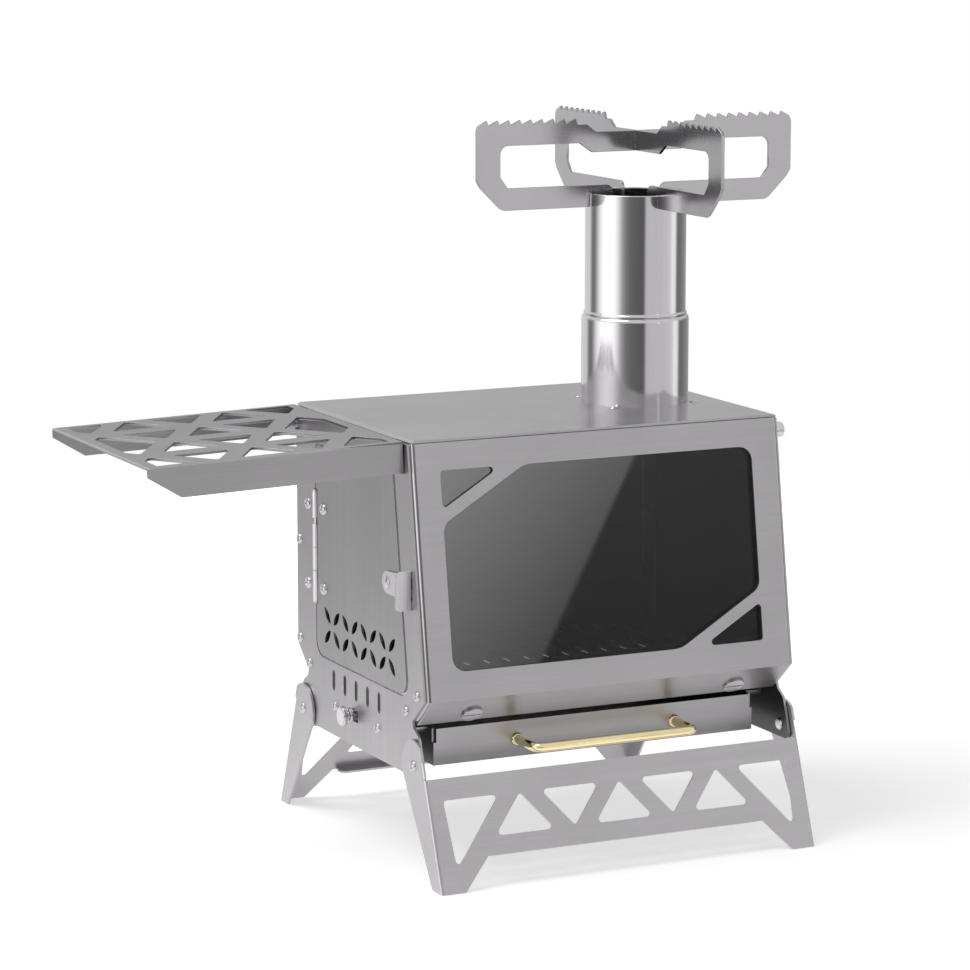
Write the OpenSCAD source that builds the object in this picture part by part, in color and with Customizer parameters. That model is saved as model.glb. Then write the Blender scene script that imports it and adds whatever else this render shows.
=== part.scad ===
// Folding wood stove of bent steel sheet: firebox with a window and a side fuel door, ash drawer,
// two truss leg frames, a lift-off side shelf, a short flue and a crossed pot stand.
// Millimetres, +Z up. The origin is on the ground, midway between the leg pivots.
// The window faces -Y, the fuel door and the shelf -X.

/* [Body] */
// Width over the outer faces of the side panels
body_w = 237; // [200:1:300]
// Height of the top plate above the ground
top_z = 249; // [240:1:290]
// Thickness of the body sheet
sheet = 1.5; // [1:0.1:2]
// Top front edge, forward of the middle
top_front = 71; // [66:1:80]
// Top back edge, behind the middle
top_back = 93; // [88:1:100]
// Knee of the front and back, outward from the middle
knee_out = 93; // [91:1:100]
// Height of the knees
knee_z = 104; // [100:1:110]
// Lower lip of the front and back, outward from the middle
lip_out = 75; // [73:1:78]
// Height of the lower lips
lip_z = 87.5; // [86:0.5:90]
// Outside radius of the long bends
bend_r = 2.5; // [2.2:0.1:4]
// Depth of the front's side flanges
flange_d = 19.5; // [17:0.5:19.5]
// Depth of the back's side flanges
back_flange_d = 16; // [14:0.5:16]
// Step of the side panels' cut edges behind the front and back
edge_step = 2.5; // [1.5:0.1:3]

/* [Window] */
// Steel between the body's left side and the window opening
window_left_steel = 18; // [16:0.5:28]
// Steel between the body's right side and the window opening
window_right_steel = 19.8; // [16:0.1:28]
// Main opening below the top edge, along the slope
window_top = 17.5; // [14:0.5:20]
// Lower edge of the openings below the top edge, along the slope
window_low = 130.7; // [120:0.5:133]
// Thickness of the glass pane
glass_t = 3; // [2:0.5:4]

/* [Fuel door] */
// Height of the door's lower edge
door_low = 102.5; // [101:0.5:110]
// Height of the door's upper edge
door_top = 228.4; // [200:0.2:229]
// Hinge side edge, behind the middle
door_back = 61.7; // [55:0.1:64]
// Front edge behind the body's sloping front
door_edge = 22.9; // [20:0.1:30]
// Gap round the door
door_gap = 0.8; // [0.5:0.1:1.5]
// Extra gap at the door's front edge
door_front_ease = 1.8; // [0:0.1:2.4]
// Extra gap under the door
door_low_ease = 0.4; // [0:0.1:1.5]
// Hinge barrel radius
hinge_r = 2; // [1.6:0.05:2.2]
// Hinge pin radius
pin_r = 0.9; // [0.8:0.05:1]

/* [Legs] */
// Leg pivots, outward from the middle
pivot_out = 79.5; // [78:0.5:84]
// Height of the leg pivots
pivot_z = 65.6; // [62:0.2:68]
// Outer face of the leg frame from the pivot, square to the leg
leg_face = 12.8; // [12:0.1:13.5]
// Upper edge of the leg frame below the pivot, along the leg
leg_top = 9.9; // [9.5:0.1:11]
// Lean of the open legs
leg_splay = 20.4; // [15:0.1:25]
// Pivot screw radius
pivot_r = 2; // [1.5:0.1:2.5]

/* [Ash drawer] */
// Room between each tray wall and the side panel
drawer_room = 13.7; // [11:0.1:22]
// Underside of the tray
drawer_z = 61.8; // [61.2:0.2:64]
// Height of the tray
drawer_h = 21.2; // [18:0.2:22]
// Tray front, forward of the middle
drawer_front = 70; // [66:1:72]
// Tray back, behind the middle
drawer_back = 66; // [60:1:68]
// Radius of the handle rod
handle_rod_r = 2.7; // [2:0.1:3]
// Distance between the handle's posts
handle_w = 102; // [80:1:120]
// Reach of the handle in front of the tray
handle_reach = 26; // [22:1:30]

/* [Shelf] */
// Reach of the shelf from the body's side
shelf_reach = 152; // [120:1:160]
// Front edge of the shelf, forward of the middle
shelf_front = 64.8; // [60:0.2:66]
// Back edge of the shelf, behind the middle
shelf_back = 92.7; // [88:0.2:95]
// Depth of the shelf's flanges
shelf_flange = 18; // [16:0.5:18.5]
// Droop of the shelf under its own slack
shelf_droop = 1.64; // [0:0.1:2]
// Height of the stud centres
stud_z = 237.5; // [236:0.5:240]

/* [Flue and pot stand] */
// Flue axis in from the body's right side
flue_in = 49.9; // [48:0.1:60]
// Flue axis behind the middle
flue_y = 14.3; // [10:0.1:18]
// Outside radius of the chimney pipe
pipe_r = 30; // [28:0.5:32]
// Wall of the chimney pipe
pipe_wall = 1; // [0.8:0.1:1.5]
// Height of the pipe's rim
pipe_top = 373.6; // [350:1:380]
// Height of the flue collar's rim
collar_top = 301.5; // [290:0.5:310]
// Half length of each stand plate
arm_r = 105; // [100:1:115]
// Thickness of the stand plates
stand_t = 2; // [1.5:0.1:3]
// Count of saw teeth on each arm
teeth = 9; // [5:1:9]
// Spacing of the saw teeth
tooth_pitch = 7.2; // [6:0.1:7.2]

/* [Hidden] */
$fn = 48;
arc_steps = 4;
over = 1;
seam = 0.3;
rivet_fit = 0.05;
run_fit = 0.05;
slack = 0.3;
panel_x = body_w / 2;
inner_x = panel_x - sheet;
window_left = panel_x - window_left_steel;
window_right = panel_x - window_right_steel;
drawer_w = 2 * (inner_x - drawer_room);
flue_x = panel_x - flue_in;

// Body outlines, drawn for the front as (y, z)
flange_drop = 7;
front_path = [[-top_front, top_z], [-knee_out, knee_z], [-lip_out, lip_z]];
back_path = [[-top_back, top_z], [-knee_out, knee_z], [-lip_out, lip_z]];

// Leg ear of a side panel, outward of and above the pivot
ear_neck = [-5, 24.4];
ear_notch = [-3.5, 20.9];
ear_shoulder = [3.5, 16.4];
ear_side = [7, 6.4];
ear_toe = [11.5, -7.6];
ear_toe_r = 4;
panel_corner_r = 1;

// Rivets: places on the side panels as (y, z)
rivet_head_r = 3;
rivet_head_h = 0.9;
rivet_r = 1.6;
rivet_tail_h = 0.7;
rivet_tail_r = 2.6;
rivet_lip_rise = 1.7;
rivet_front_in = 12;
rivet_back_in = 6.2;
rivet_back_mid_z = 167.5;

// Cross bars under the grate
bar_in = 14;
back_bar_in = 6.9;
bar_web_z = 86;
bar_leg_d = 12;
bar_tab_d = 8.4;
bar_tab_h = 6;
bar_rivet_drop = 4.2;
grate_z = 98.5;
grate_t = 2;
grate_side_gap = 2.5;
grate_front = 70;
grate_back = 84;
grate_rim_h = 24;
grate_slot_w = 5;
grate_slot_l = 46;
grate_slot_pitch = 13;
grate_edge = 12;

// Drawer rails and tray lips
drawer_sheet = 1.2;
lip_gap = 0.3;
rail_side_gap = 2.5;
rail_web_h = 3.7;
rail_ear_l = 11;
rail_t = 1.2;
drawer_play = 1.3;
rail_flange_d = drawer_room - rail_side_gap - drawer_play;
lip_reach = rail_flange_d - rail_t;

// Fuel door details
door_low_r = 9;
door_top_r = 4;
stop_lap = 4;
stop_land = door_edge - flange_d - slack;
stop_break = 1;
hinge_low = 134.1;
hinge_len = 66.4;
knuckle_start_shares = [0, 0.283, 0.492, 0.755];
knuckle_end_shares = [0.283, 0.492, 0.705, 1];
knuckle_gap = 0.3;
leaf_t = 1;
leaf_d = 12;
door_leaf_d = 16;
strap_t = 1.5;
barrel_room = 0.4;
hinge_rivet_in = 8.1;
door_rivet_in = 9.3;
hinge_rivet_end_shares = [0.14, 0.86];
hinge_rivet_r = 3.25;
pin_head_r = 1.6;
pin_head_h = 0.8;
hinge_y = door_back + door_gap / 2;

// Door vents and the air slots below the door
vent_l = 12.5;
vent_w = 4.8;
vent_pitch = 13.2;
vent_count = 8;
vent_first_back = 16.2;
vent_rise = 13.1;
vent_row_gap = 12.8;
slot_w = 4;
slot_low = 85;
slot_h = 12.3;
slot_pitch = 16.3;
slot_count = 5;
slot_mid_y = 4.1;

// Air damper
damper_t = 1;
damper_gap = 0.2;
damper_open = 5.2;
damper_shut = 3;
damper_len = 80;
damper_low = 70.5;
damper_top = 98.1;
damper_window_w = 4.8;
guide_z = 76;
guide_half = 30.7;
knob_y = 9.4;
knob_stem_r = 2.25;
knob_r = 5.8;
knob_h = 3;
knob_reach = 5;
knob_tail_r = 1.5;

// Door latch
latch_y = -43.2;
latch_z = 164.4;
latch_t = 1.2;
latch_head_r = 6.5;
latch_tip_y = -74.2;
latch_tab_low = 153.4;
latch_tab_high = 176.2;
latch_tab_reach = 9.6;
latch_tab_r = 3;
latch_nose_low = 161;
latch_nose_high = 165.8;
latch_nose_in = 1.2;
latch_rivet_r = 2;
latch_neck_low = 158;
catch_slot_room = 1.2;
catch_lift_room = 6;

// Window cut-outs, as x and distance down the slope
chamfer_left = [52.5, 30.3];
chamfer_right = [54.2, 30.8];
chamfer_end_r = 17;
chamfer_side_r = 8;
bridge = 7.2;
corner_r = 8;
point_r = 2;
glass_side_room = 9;
glass_half_w = inner_x - glass_side_room;
glass_top_s = 12;
glass_low_s = 136;
glass_gap = 0.2;
retainer_t = 1.2;
retainer_lap_s = 8;
retainer_end_s = 22.6;
clip_in = 58.5;
clip_x = panel_x - clip_in;
clip_w = 14;
clip_start_s = 4;
clip_lap_s = 4;
coin_in = 34;
coin_x = panel_x - coin_in;
coin_s = 16.3;
coin_r = 6.35;
coin_h = 1.6;
coin_shank_r = 2;
coin_slot_w = 1.6;
coin_nut_r = 4;
coin_nut_h = 2.4;

// Shelf studs
stud_front = 58;
stud_neck_r = 2.5;
stud_neck_l = 4;
stud_head_r = 4.5;
stud_head_h = 6;
stud_tail_r = 4;
stud_tail_h = 1;
stud_back = shelf_back - shelf_front + stud_front;

// Shelf lattice: triangle cut-outs on a square grid, staggered row by row
shelf_t = 1.5;
shelf_gap = slack + shelf_flange * sin(shelf_droop);
shelf_drop = 0.85;
shelf_slot_room = 0.2;
shelf_inner_flange = 18.4;
shelf_cut_run = 19;
shelf_cut_rise = 12.3;
lattice_first_x = 12.5;
lattice_pitch = 30.5;
lattice_half_base = 17.5;
lattice_h = 27;
lattice_start_y = 4.8;
lattice_row_pitch = 40.3;
lattice_r = 1.6;
lattice_edge = 7;

// Legs
leg_sheet = 1.5;
leg_gap = 0.4;
leg_len = 65;
leg_head_r = 15;
leg_foot_d = 10.5;
truss_band = 12.4;
truss_low_s = 35.4;
truss_half_base = 18.9;
truss_pitch = 63.2;
truss_r = 2;
truss_bottom_s = 46;
truss_hem = 7;
truss_hem_in = 2.4;
truss_hem_r = 4;
foot_w = 15;
foot_inner_run = 17;
side_hole_top_x = 111;
side_hole_inner_x = 76;
side_hole_tip_x = 108.5;
side_hole_tip_s = 51.7;
leg_bore_fit = 0.05;
pivot_head_r = 3.4;
pivot_head_h = 1.3;
pivot_nut_r = 4;
pivot_nut_h = 3.2;
pivot_slot_w = 1;
pivot_washer_gap = 0.1;
leg_x = panel_x + leg_gap;
leg_out_x = leg_x + leg_sheet;

// Drawer handle
handle_z = 72.3;
handle_bend_r = 5;
handle_foot_r = 4;
handle_foot_h = 1;
handle_screw_r = 1.5;
handle_screw_head_r = 3;
handle_screw_head_h = 1.6;
tray_slit = 1;
tray_slit_h = 8;

// Flue
collar_wall = 1.7;
pipe_gap = 0.3;
collar_flange_r = 42;
collar_flange_t = 1.5;
pipe_low = 281;
pipe_bead_h = 2;
pipe_bead_r = 1.3;
flue_screw_out = 36;
flue_screw_angles = [130, 222, 320, 50];
flue_screw_r = 1.5;
flue_screw_head_r = 2.8;
flue_screw_head_h = 1.2;
flue_nut_h = 2;
flue_nut_r = 2.6;

// Stand plate outline, as distance from the flue axis and height above the pipe's rim
tip_first_r = 98.3;
tip_h = 44.8;
root_h = 42;
tooth_steep = 1.2;
rim_flat_r = [39, 33];
rim_flat_h = 40.9;
hub_r = 27;
hub_h = 36.4;
end_top_h = 39;
end_round = 1.3;
eye_out_r = 89.5;
eye_top_h = 29.9;
eye_corner_r = 5;
eye_step_r = [37.8, 29.8];
eye_hub_h = 24.4;
eye_cut_h = [11.7, 5.2];
eye_cut_r = 84.7;
arm_low_h = -7.8;
arm_in_r = 16;
arm_in_round = 4;
arm_end_h = 10;
arm_end_low = [102.5, 5.8];
arm_heel = [89.7, -6.7];
arm_heel_in = 87;
rim_slot_room = 0.7;

// Unit vector along v
function unit(v) = v / norm(v);

// Vector v turned a quarter left
function left_of(v) = [-v[1], v[0]];

// Outline in reverse order
function reversed(p) = [for (i = [len(p) - 1 : -1 : 0]) p[i]];

// Outline mirrored across its second axis
function mirrored(p) = [for (q = p) [-q[0], q[1]]];

// Points of an arc that rounds the corner p between a and b
function corner_arc(a, p, b, r) =
    let (ua = unit(a - p), ub = unit(b - p), half = acos(ua * ub) / 2)
    let (c = p + unit(ua + ub) * r / sin(half))
    let (pa = p + ua * r / tan(half) - c, pb = p + ub * r / tan(half) - c)
    let (start = atan2(pa[1], pa[0]), end = atan2(pb[1], pb[0]))
    let (sweep = (end - start + 540) % 360 - 180)
    [for (i = [0 : arc_steps]) c + r * [cos(start + sweep * i / arc_steps), sin(start + sweep * i / arc_steps)]];

// Closed outline with rounded corners; r is one radius or a list, and zero keeps a corner sharp
function rounded(p, r) = [
    for (i = [0 : len(p) - 1])
        let (a = p[(i + len(p) - 1) % len(p)], b = p[(i + 1) % len(p)], ri = is_list(r) ? r[i] : r)
        each (ri == 0 ? [p[i]] : corner_arc(a, p[i], b, ri))
];

// Point i of path p moved by t to the path's left, mitred at its bends
function offset_point(p, i, t) =
    let (before = i > 0 ? left_of(unit(p[i] - p[i - 1])) : left_of(unit(p[i + 1] - p[i])))
    let (after = i < len(p) - 1 ? left_of(unit(p[i + 1] - p[i])) : before)
    p[i] + t * (before + after) / (1 + before * after);
function offset_path(p, t) = [for (i = [0 : len(p) - 1]) offset_point(p, i, t)];

// Section of a bent sheet of thickness t that lies to the left of path p
function strip(p, t) = concat(p, reversed(offset_path(p, t)));

// Point of the line through p and q at height z
function at_height(p, q, z) = p + (q - p) * (z - p[1]) / (q[1] - p[1]);

// Place on the sloping front, s down the slope and d behind its outer face, as (y, z)
slope_dir = unit(front_path[1] - front_path[0]);
lip_dir = unit(front_path[2] - front_path[1]);
function slope_at(s, d) = front_path[0] + s * slope_dir + d * left_of(slope_dir);
function lip_at(s, d) = front_path[1] + s * lip_dir + d * left_of(lip_dir);
slope_tilt = atan2(knee_out - top_front, top_z - knee_z);

// Where the line d1 behind the slope meets the line d2 behind the lip
function knee_meet(d1, d2) =
    let (n1 = left_of(slope_dir), n2 = left_of(lip_dir), det = n1[0] * n2[1] - n1[1] * n2[0])
    front_path[1] + [d1 * n2[1] - d2 * n1[1], d2 * n1[0] - d1 * n2[0]] / det;

// Runs a (y, z) outline along X from x0
module along_x(x0, length) {
    translate([x0, 0, 0]) rotate([90, 0, 90]) linear_extrude(length) children();
}

// Runs an (x, z) outline along Y from y0
module along_y(y0, length) {
    translate([0, y0 + length, 0]) rotate([90, 0, 0]) linear_extrude(length) children();
}

// Turns +Z to the given side, so that heads lie outside: side 1 is right, -1 is left
module facing_side(side) {
    rotate([0, side * 90, 0]) children();
}

// Copies for the right and left sides
module both_sides() {
    for (side = [-1, 1]) translate([side * panel_x, 0, 0]) facing_side(side) children();
}

// Local x across, y up the sloping front and z out of its face
module on_slope() {
    translate([0, -top_front, top_z]) rotate([90 - slope_tilt, 0, 0]) children();
}

// Low domed head on the plane z = 0
module dome(r, h) {
    ball = (r * r + h * h) / (2 * h);
    intersection() {
        translate([0, 0, h - ball]) sphere(ball);
        cylinder(r = r, h = h);
    }
}

// Rivet with its head on z = 0 and its tail behind a stack of sheets of thickness grip
module rivet(grip, head_r = rivet_head_r, shank_r = rivet_r, tail_r = rivet_tail_r) {
    dome(head_r, rivet_head_h);
    translate([0, 0, -grip - rivet_tail_h]) cylinder(r = shank_r, h = grip + rivet_tail_h);
    translate([0, 0, -grip - rivet_tail_h]) cylinder(r = tail_r, h = rivet_tail_h);
}

// Hole along X through both sides at a (y, z) place
module side_hole(place, r, side) {
    translate([side * (panel_x + over), place[0], place[1]]) facing_side(-side)
        cylinder(r = r, h = flange_d);
}

// Puts its child on the outer face of a side panel at a (y, z) place
module on_side(place, side) {
    translate([side * panel_x, place[0], place[1]]) facing_side(side) children();
}

// Rivet places
front_bar_out = lip_out - bar_in + sheet;
back_bar_out = lip_out - back_bar_in + sheet;
bar_rivet_z = grate_z - bar_rivet_drop;
knee_rivet = [-knee_out + rivet_front_in, knee_z + rivet_lip_rise];
back_rivets = [[knee_out - rivet_back_in, knee_z + 2 * rivet_lip_rise], [knee_out - rivet_back_in, rivet_back_mid_z]];
bar_rivet_out = (bar_tab_d - sheet) / 2;
bar_rivets = [[-front_bar_out - bar_rivet_out, bar_rivet_z], [back_bar_out + bar_rivet_out, bar_rivet_z]];
sheet_rivets = concat([knee_rivet], back_rivets, bar_rivets);
studs = [[-stud_front, stud_z], [stud_back, stud_z]];
guides = [[slot_mid_y - guide_half, guide_z], [slot_mid_y + guide_half, guide_z]];
pivots = [[-pivot_out, pivot_z], [pivot_out, pivot_z]];

// Section of a sheet channel with round bends: half width w, flanges of the given depth
function channel(w, depth, t, r) = rounded(
    [[-w, depth], [-w, 0], [w, 0], [w, depth], [w - t, depth], [w - t, t], [t - w, t], [t - w, depth]],
    [0, r, r, 0, 0, r - t, r - t, 0]
);

// Channel whose outer face runs from p to q in the (y, z) plane, run on by the lengths before and after
module channel_along(p, q, w, depth, before, after) {
    length = norm(q - p) + before + after;
    translate([0, p[0], p[1]]) rotate([atan2(q[1] - p[1], q[0] - p[0]), 0, 0])
        translate([0, length - before, 0]) rotate([90, 0, 0]) linear_extrude(length)
            polygon(channel(w, depth, sheet, bend_r));
}

// Front or back of the body, drawn as the front: a channel mitred at the knee
module bent_shell(path, depth) {
    reach = 2 * flange_d;
    mitre = unit(left_of(unit(path[1] - path[0])) + left_of(unit(path[2] - path[1])));
    outside = path[1] - reach * mitre;
    inside = path[1] + reach * mitre;
    rim = top_z - sheet - seam;
    low = knee_z - flange_drop;
    behind = offset_path(path, bend_r);
    flange_foot = at_height(behind[1], behind[2], low);
    lip_end = behind[2] + over * unit(path[2] - path[1]);
    rear = offset_path(path, depth);
    foot = at_height(rear[0], rear[1], low - over);
    intersection() {
        channel_along(path[0], path[1], inner_x, depth, reach, reach);
        along_x(-body_w, 2 * body_w) polygon([outside, inside, [inside[0], rim], [outside[0], rim]]);
    }
    difference() {
        intersection() {
            channel_along(path[1], path[2], inner_x, depth, reach, 0);
            along_x(-body_w, 2 * body_w) polygon([outside, inside, [0, lip_z - reach], [outside[0], lip_z - reach]]);
        }
        along_x(-body_w, 2 * body_w) polygon([flange_foot, lip_end, [0, lip_end[1]], [0, low]]);
        along_x(-body_w, 2 * body_w)
            polygon([foot, at_height(rear[0], rear[1], rear[1][1] + over), [0, rear[1][1] + over], [0, low - over]]);
    }
}

// Half of a side panel's outline, from its top to its bottom, drawn as the front half
function panel_half(path) = [
    path[0] + [edge_step, -edge_step],
    path[1] + [edge_step, 0],
    [-pivot_out - ear_neck[0], pivot_z + ear_neck[1]],
    [-pivot_out - ear_notch[0], pivot_z + ear_notch[1]],
    [-pivot_out - ear_shoulder[0], pivot_z + ear_shoulder[1]],
    [-pivot_out - ear_side[0], pivot_z + ear_side[1]],
    [-pivot_out - ear_toe[0], pivot_z + ear_toe[1]]
];
panel_half_r = [panel_corner_r, 0, 0, 0, ear_toe_r, 0, ear_toe_r];

// Side panel sheet with the holes that both sides have
module side_panel(side) {
    outline = concat(panel_half(front_path), reversed(mirrored(panel_half(back_path))));
    radii = concat(panel_half_r, reversed(panel_half_r));
    difference() {
        along_x(side > 0 ? inner_x : -panel_x, sheet) polygon(rounded(outline, radii));
        for (p = sheet_rivets) side_hole(p, rivet_r + rivet_fit, side);
        for (p = studs) side_hole(p, stud_neck_r + rivet_fit, side);
        for (p = pivots) side_hole(p, pivot_r + rivet_fit, side);
    }
}

// Door outline grown by g on every side, then cut back at the front and below, as (y, z)
function door_outline(g, front_cut = 0, low_cut = 0) =
    let (edge = offset_path(front_path, door_edge + front_cut - g), low = door_low + low_cut - g, top = door_top + g)
    rounded(
        [at_height(edge[0], edge[1], top), at_height(edge[0], edge[1], low), [door_back + g, low], [door_back + g, top]],
        [door_top_r + g, door_low_r + g, door_low_r + g, door_top_r + g]
    );

// Room for the hinge barrel in the edges of door and panel
module barrel_notch() {
    half = hinge_r + barrel_room;
    translate([-panel_x - over, hinge_y - half, hinge_low - knuckle_gap - pin_head_h])
        cube([sheet + 2 * over, 2 * half, hinge_len + 2 * knuckle_gap + 2 * pin_head_h]);
}

module left_side_panel() {
    color("silver") difference() {
        side_panel(-1);
        along_x(-panel_x - over, sheet + 2 * over) polygon(door_outline(door_gap));
        barrel_notch();
        air_slots(slot_w, 0, slot_low, slot_h);
        along_x(-panel_x - over, sheet + 2 * over) {
            knob_slot();
            catch_slot();
        }
        for (p = guides) side_hole(p, rivet_r + rivet_fit, -1);
        for (z = hinge_rivet_heights) side_hole([hinge_y + leaf_rivet_out, z], rivet_r + rivet_fit, -1);
    }
}

module right_side_panel() {
    color("silver") side_panel(1);
}

// Row of upright slots with round ends, shifted along Y
module air_slots(width, shift, low, height) {
    for (i = [0 : slot_count - 1])
        translate([0, slot_mid_y + (i - (slot_count - 1) / 2) * slot_pitch + shift, 0])
            along_x(-panel_x - over, 3 * sheet + damper_t + over) {
                translate([-width / 2, low + width / 2]) square([width, height - width]);
                for (z = [low + width / 2, low + height - width / 2]) translate([0, z]) circle(width / 2);
            }
}

// Slot that the damper knob's stem runs in, as (y, z)
module knob_slot() {
    low_y = knob_y - damper_open - knob_stem_r - slack;
    width = damper_open + damper_shut + 2 * knob_stem_r + 2 * slack;
    translate([low_y, guide_z - knob_stem_r - slack - rivet_head_h])
        square([width, 2 * (knob_stem_r + slack + rivet_head_h)]);
}

// Slot in the panel that the latch nose enters, as (y, z)
module catch_slot() {
    low_y = latch_tip_y - catch_slot_room;
    translate([low_y, latch_nose_low - catch_slot_room])
        square([latch_t + 2 * catch_slot_room, latch_nose_high - latch_nose_low + catch_lift_room + catch_slot_room]);
}

// Main window opening, as x and height on the slope (down is negative)
module window_main() {
    polygon(rounded([
        [window_right, -window_top],
        [-window_left + chamfer_left[0], -window_top],
        [-window_left, -window_top - chamfer_left[1]],
        [-window_left, -window_low],
        [window_right - chamfer_right[0], -window_low],
        [window_right, -window_low + chamfer_right[1]]
    ], [corner_r, chamfer_end_r, chamfer_side_r, corner_r, chamfer_end_r, chamfer_side_r]));
}

// Corner triangle of the window at the given side, left over beyond the slanting bridge
module window_corner(width, cut, side) {
    reach = norm(cut) * bridge / cut[1];
    drop = norm(cut) * bridge / cut[0];
    polygon(rounded([
        [side * width, 0],
        [side * (width - cut[0] + reach), 0],
        [side * width, -cut[1] + drop]
    ], point_r));
}

module front_frame() {
    color("gainsboro") difference() {
        bent_shell(front_path, flange_d);
        on_slope() translate([0, 0, -sheet - over]) linear_extrude(sheet + 2 * over) {
            window_main();
            translate([0, -window_top]) window_corner(window_left, chamfer_left, -1);
            translate([0, -window_low]) mirror([0, 1]) window_corner(window_right, chamfer_right, 1);
        }
        for (x = [-coin_x, coin_x]) on_lip(x, 0) translate([0, 0, -sheet - over])
            cylinder(r = coin_shank_r + rivet_fit, h = sheet + 2 * over);
        for (side = [-1, 1]) {
            side_hole(knee_rivet, rivet_r + rivet_fit, side);
            side_hole(studs[0], stud_neck_r + rivet_fit, side);
        }
    }
}

// Frame at a coin screw's place on the lip, z out of its face
module on_lip(x, d) {
    p = lip_at(coin_s, d);
    translate([x, p[0], p[1]]) rotate([90 + atan2(lip_out - knee_out, lip_z - knee_z) + 180, 0, 0])
        children();
}

module back_panel() {
    color("silver") mirror([0, 1, 0]) difference() {
        bent_shell(back_path, back_flange_d);
        for (side = [-1, 1]) {
            for (p = back_rivets) side_hole([-p[0], p[1]], rivet_r + rivet_fit, side);
            side_hole([-studs[1][0], studs[1][1]], stud_neck_r + rivet_fit, side);
        }
    }
}

// Top plate: flat with side flanges between those of front and back
module top_plate() {
    depth = top_front + top_back;
    flange_front = -top_front + flange_d / cos(slope_tilt) + slack;
    drop = top_z - door_top - stop_land - slack;
    color("lightgray") difference() {
        union() {
            translate([-inner_x, -top_front, top_z - sheet]) cube([2 * inner_x, depth, sheet]);
            for (x = [-inner_x, inner_x - sheet]) translate([x, flange_front, top_z - drop])
                cube([sheet, top_back - back_flange_d - slack - flange_front, drop]);
        }
        for (side = [-1, 1]) translate([0, 0, top_z]) top_edge_cut(side, depth);
        translate([flue_x, flue_y, top_z - sheet - over])
            cylinder(r = pipe_r + pipe_gap + collar_wall + rivet_fit, h = sheet + 2 * over);
        for (a = flue_screw_angles) at_flue_screw(a) translate([0, 0, top_z - sheet - over])
            cylinder(r = flue_screw_r + rivet_fit, h = sheet + 2 * over);
    }
}

// Rounds a side edge of the top plate
module top_edge_cut(side, depth) {
    mirror([side > 0 ? 0 : 1, 0, 0]) translate([inner_x - bend_r, -top_front - over, -bend_r]) difference() {
        cube([bend_r + over, depth + 2 * over, bend_r + over]);
        translate([0, -over, 0]) rotate([-90, 0, 0]) cylinder(r = bend_r, h = depth + 4 * over);
    }
}

module at_flue_screw(a) {
    translate([flue_x, flue_y, 0]) rotate([0, 0, a]) translate([flue_screw_out, 0, 0]) children();
}

module flue_collar() {
    bore = pipe_r + pipe_gap;
    base = top_z - sheet - collar_flange_t;
    color("silver") translate([flue_x, flue_y, 0]) difference() {
        union() {
            translate([0, 0, base]) cylinder(r = bore + collar_wall, h = collar_top - base);
            translate([0, 0, base]) cylinder(r = collar_flange_r, h = collar_flange_t);
        }
        translate([0, 0, base - over]) cylinder(r = bore, h = collar_top - base + 2 * over);
        for (a = flue_screw_angles) rotate([0, 0, a]) translate([flue_screw_out, 0, base - over])
            cylinder(r = flue_screw_r + rivet_fit, h = collar_flange_t + 2 * over);
    }
}

module flue_screws() {
    low = top_z - sheet - collar_flange_t - flue_nut_h;
    color("gray") for (a = flue_screw_angles) at_flue_screw(a) {
        translate([0, 0, top_z]) dome(flue_screw_head_r, flue_screw_head_h);
        translate([0, 0, low]) cylinder(r = flue_screw_r, h = top_z - low);
        translate([0, 0, low]) cylinder(r = flue_nut_r, h = flue_nut_h, $fn = 6);
    }
}

module window_glass() {
    depth = sheet + glass_gap;
    color("dimgray", 0.6) on_slope() translate([-glass_half_w, -glass_low_s, -depth - glass_t])
        cube([2 * glass_half_w, glass_low_s - glass_top_s, glass_t]);
}

// Bent strip behind lip and pane
module glass_retainer() {
    back = sheet + glass_gap + glass_t + glass_gap;
    path = [slope_at(glass_low_s - retainer_lap_s, back), knee_meet(back, sheet), lip_at(retainer_end_s, sheet)];
    color("gray") difference() {
        along_x(-glass_half_w, 2 * glass_half_w) polygon(strip(path, retainer_t));
        for (x = [-coin_x, coin_x]) on_lip(x, 0) translate([0, 0, -sheet - retainer_t - over])
            cylinder(r = coin_shank_r + rivet_fit, h = sheet + retainer_t + 2 * over);
    }
}

// Two stepped clips that hold the pane's upper edge against the frame
module glass_clips() {
    back = sheet + glass_gap + glass_t + glass_gap;
    step = glass_top_s - retainer_t - glass_gap;
    path = [slope_at(clip_start_s, sheet), slope_at(step, sheet), slope_at(step, back), slope_at(glass_top_s + clip_lap_s, back)];
    color("gray") for (x = [-clip_x, clip_x]) along_x(x - clip_w / 2, clip_w) polygon(strip(path, retainer_t));
}

// Large slotted screws with a nut behind the retainer
module coin_screws() {
    grip = sheet + retainer_t;
    color("lightgray") for (x = [-coin_x, coin_x]) on_lip(x, 0) {
        difference() {
            cylinder(r = coin_r, h = coin_h);
            translate([-coin_r - over, -coin_slot_w / 2, coin_h / 2])
                cube([2 * coin_r + 2 * over, coin_slot_w, coin_h]);
        }
        translate([0, 0, -grip - coin_nut_h]) cylinder(r = coin_shank_r, h = grip + coin_nut_h);
        translate([0, 0, -grip - coin_nut_h]) cylinder(r = coin_nut_r, h = coin_nut_h, $fn = 6);
    }
}

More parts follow.
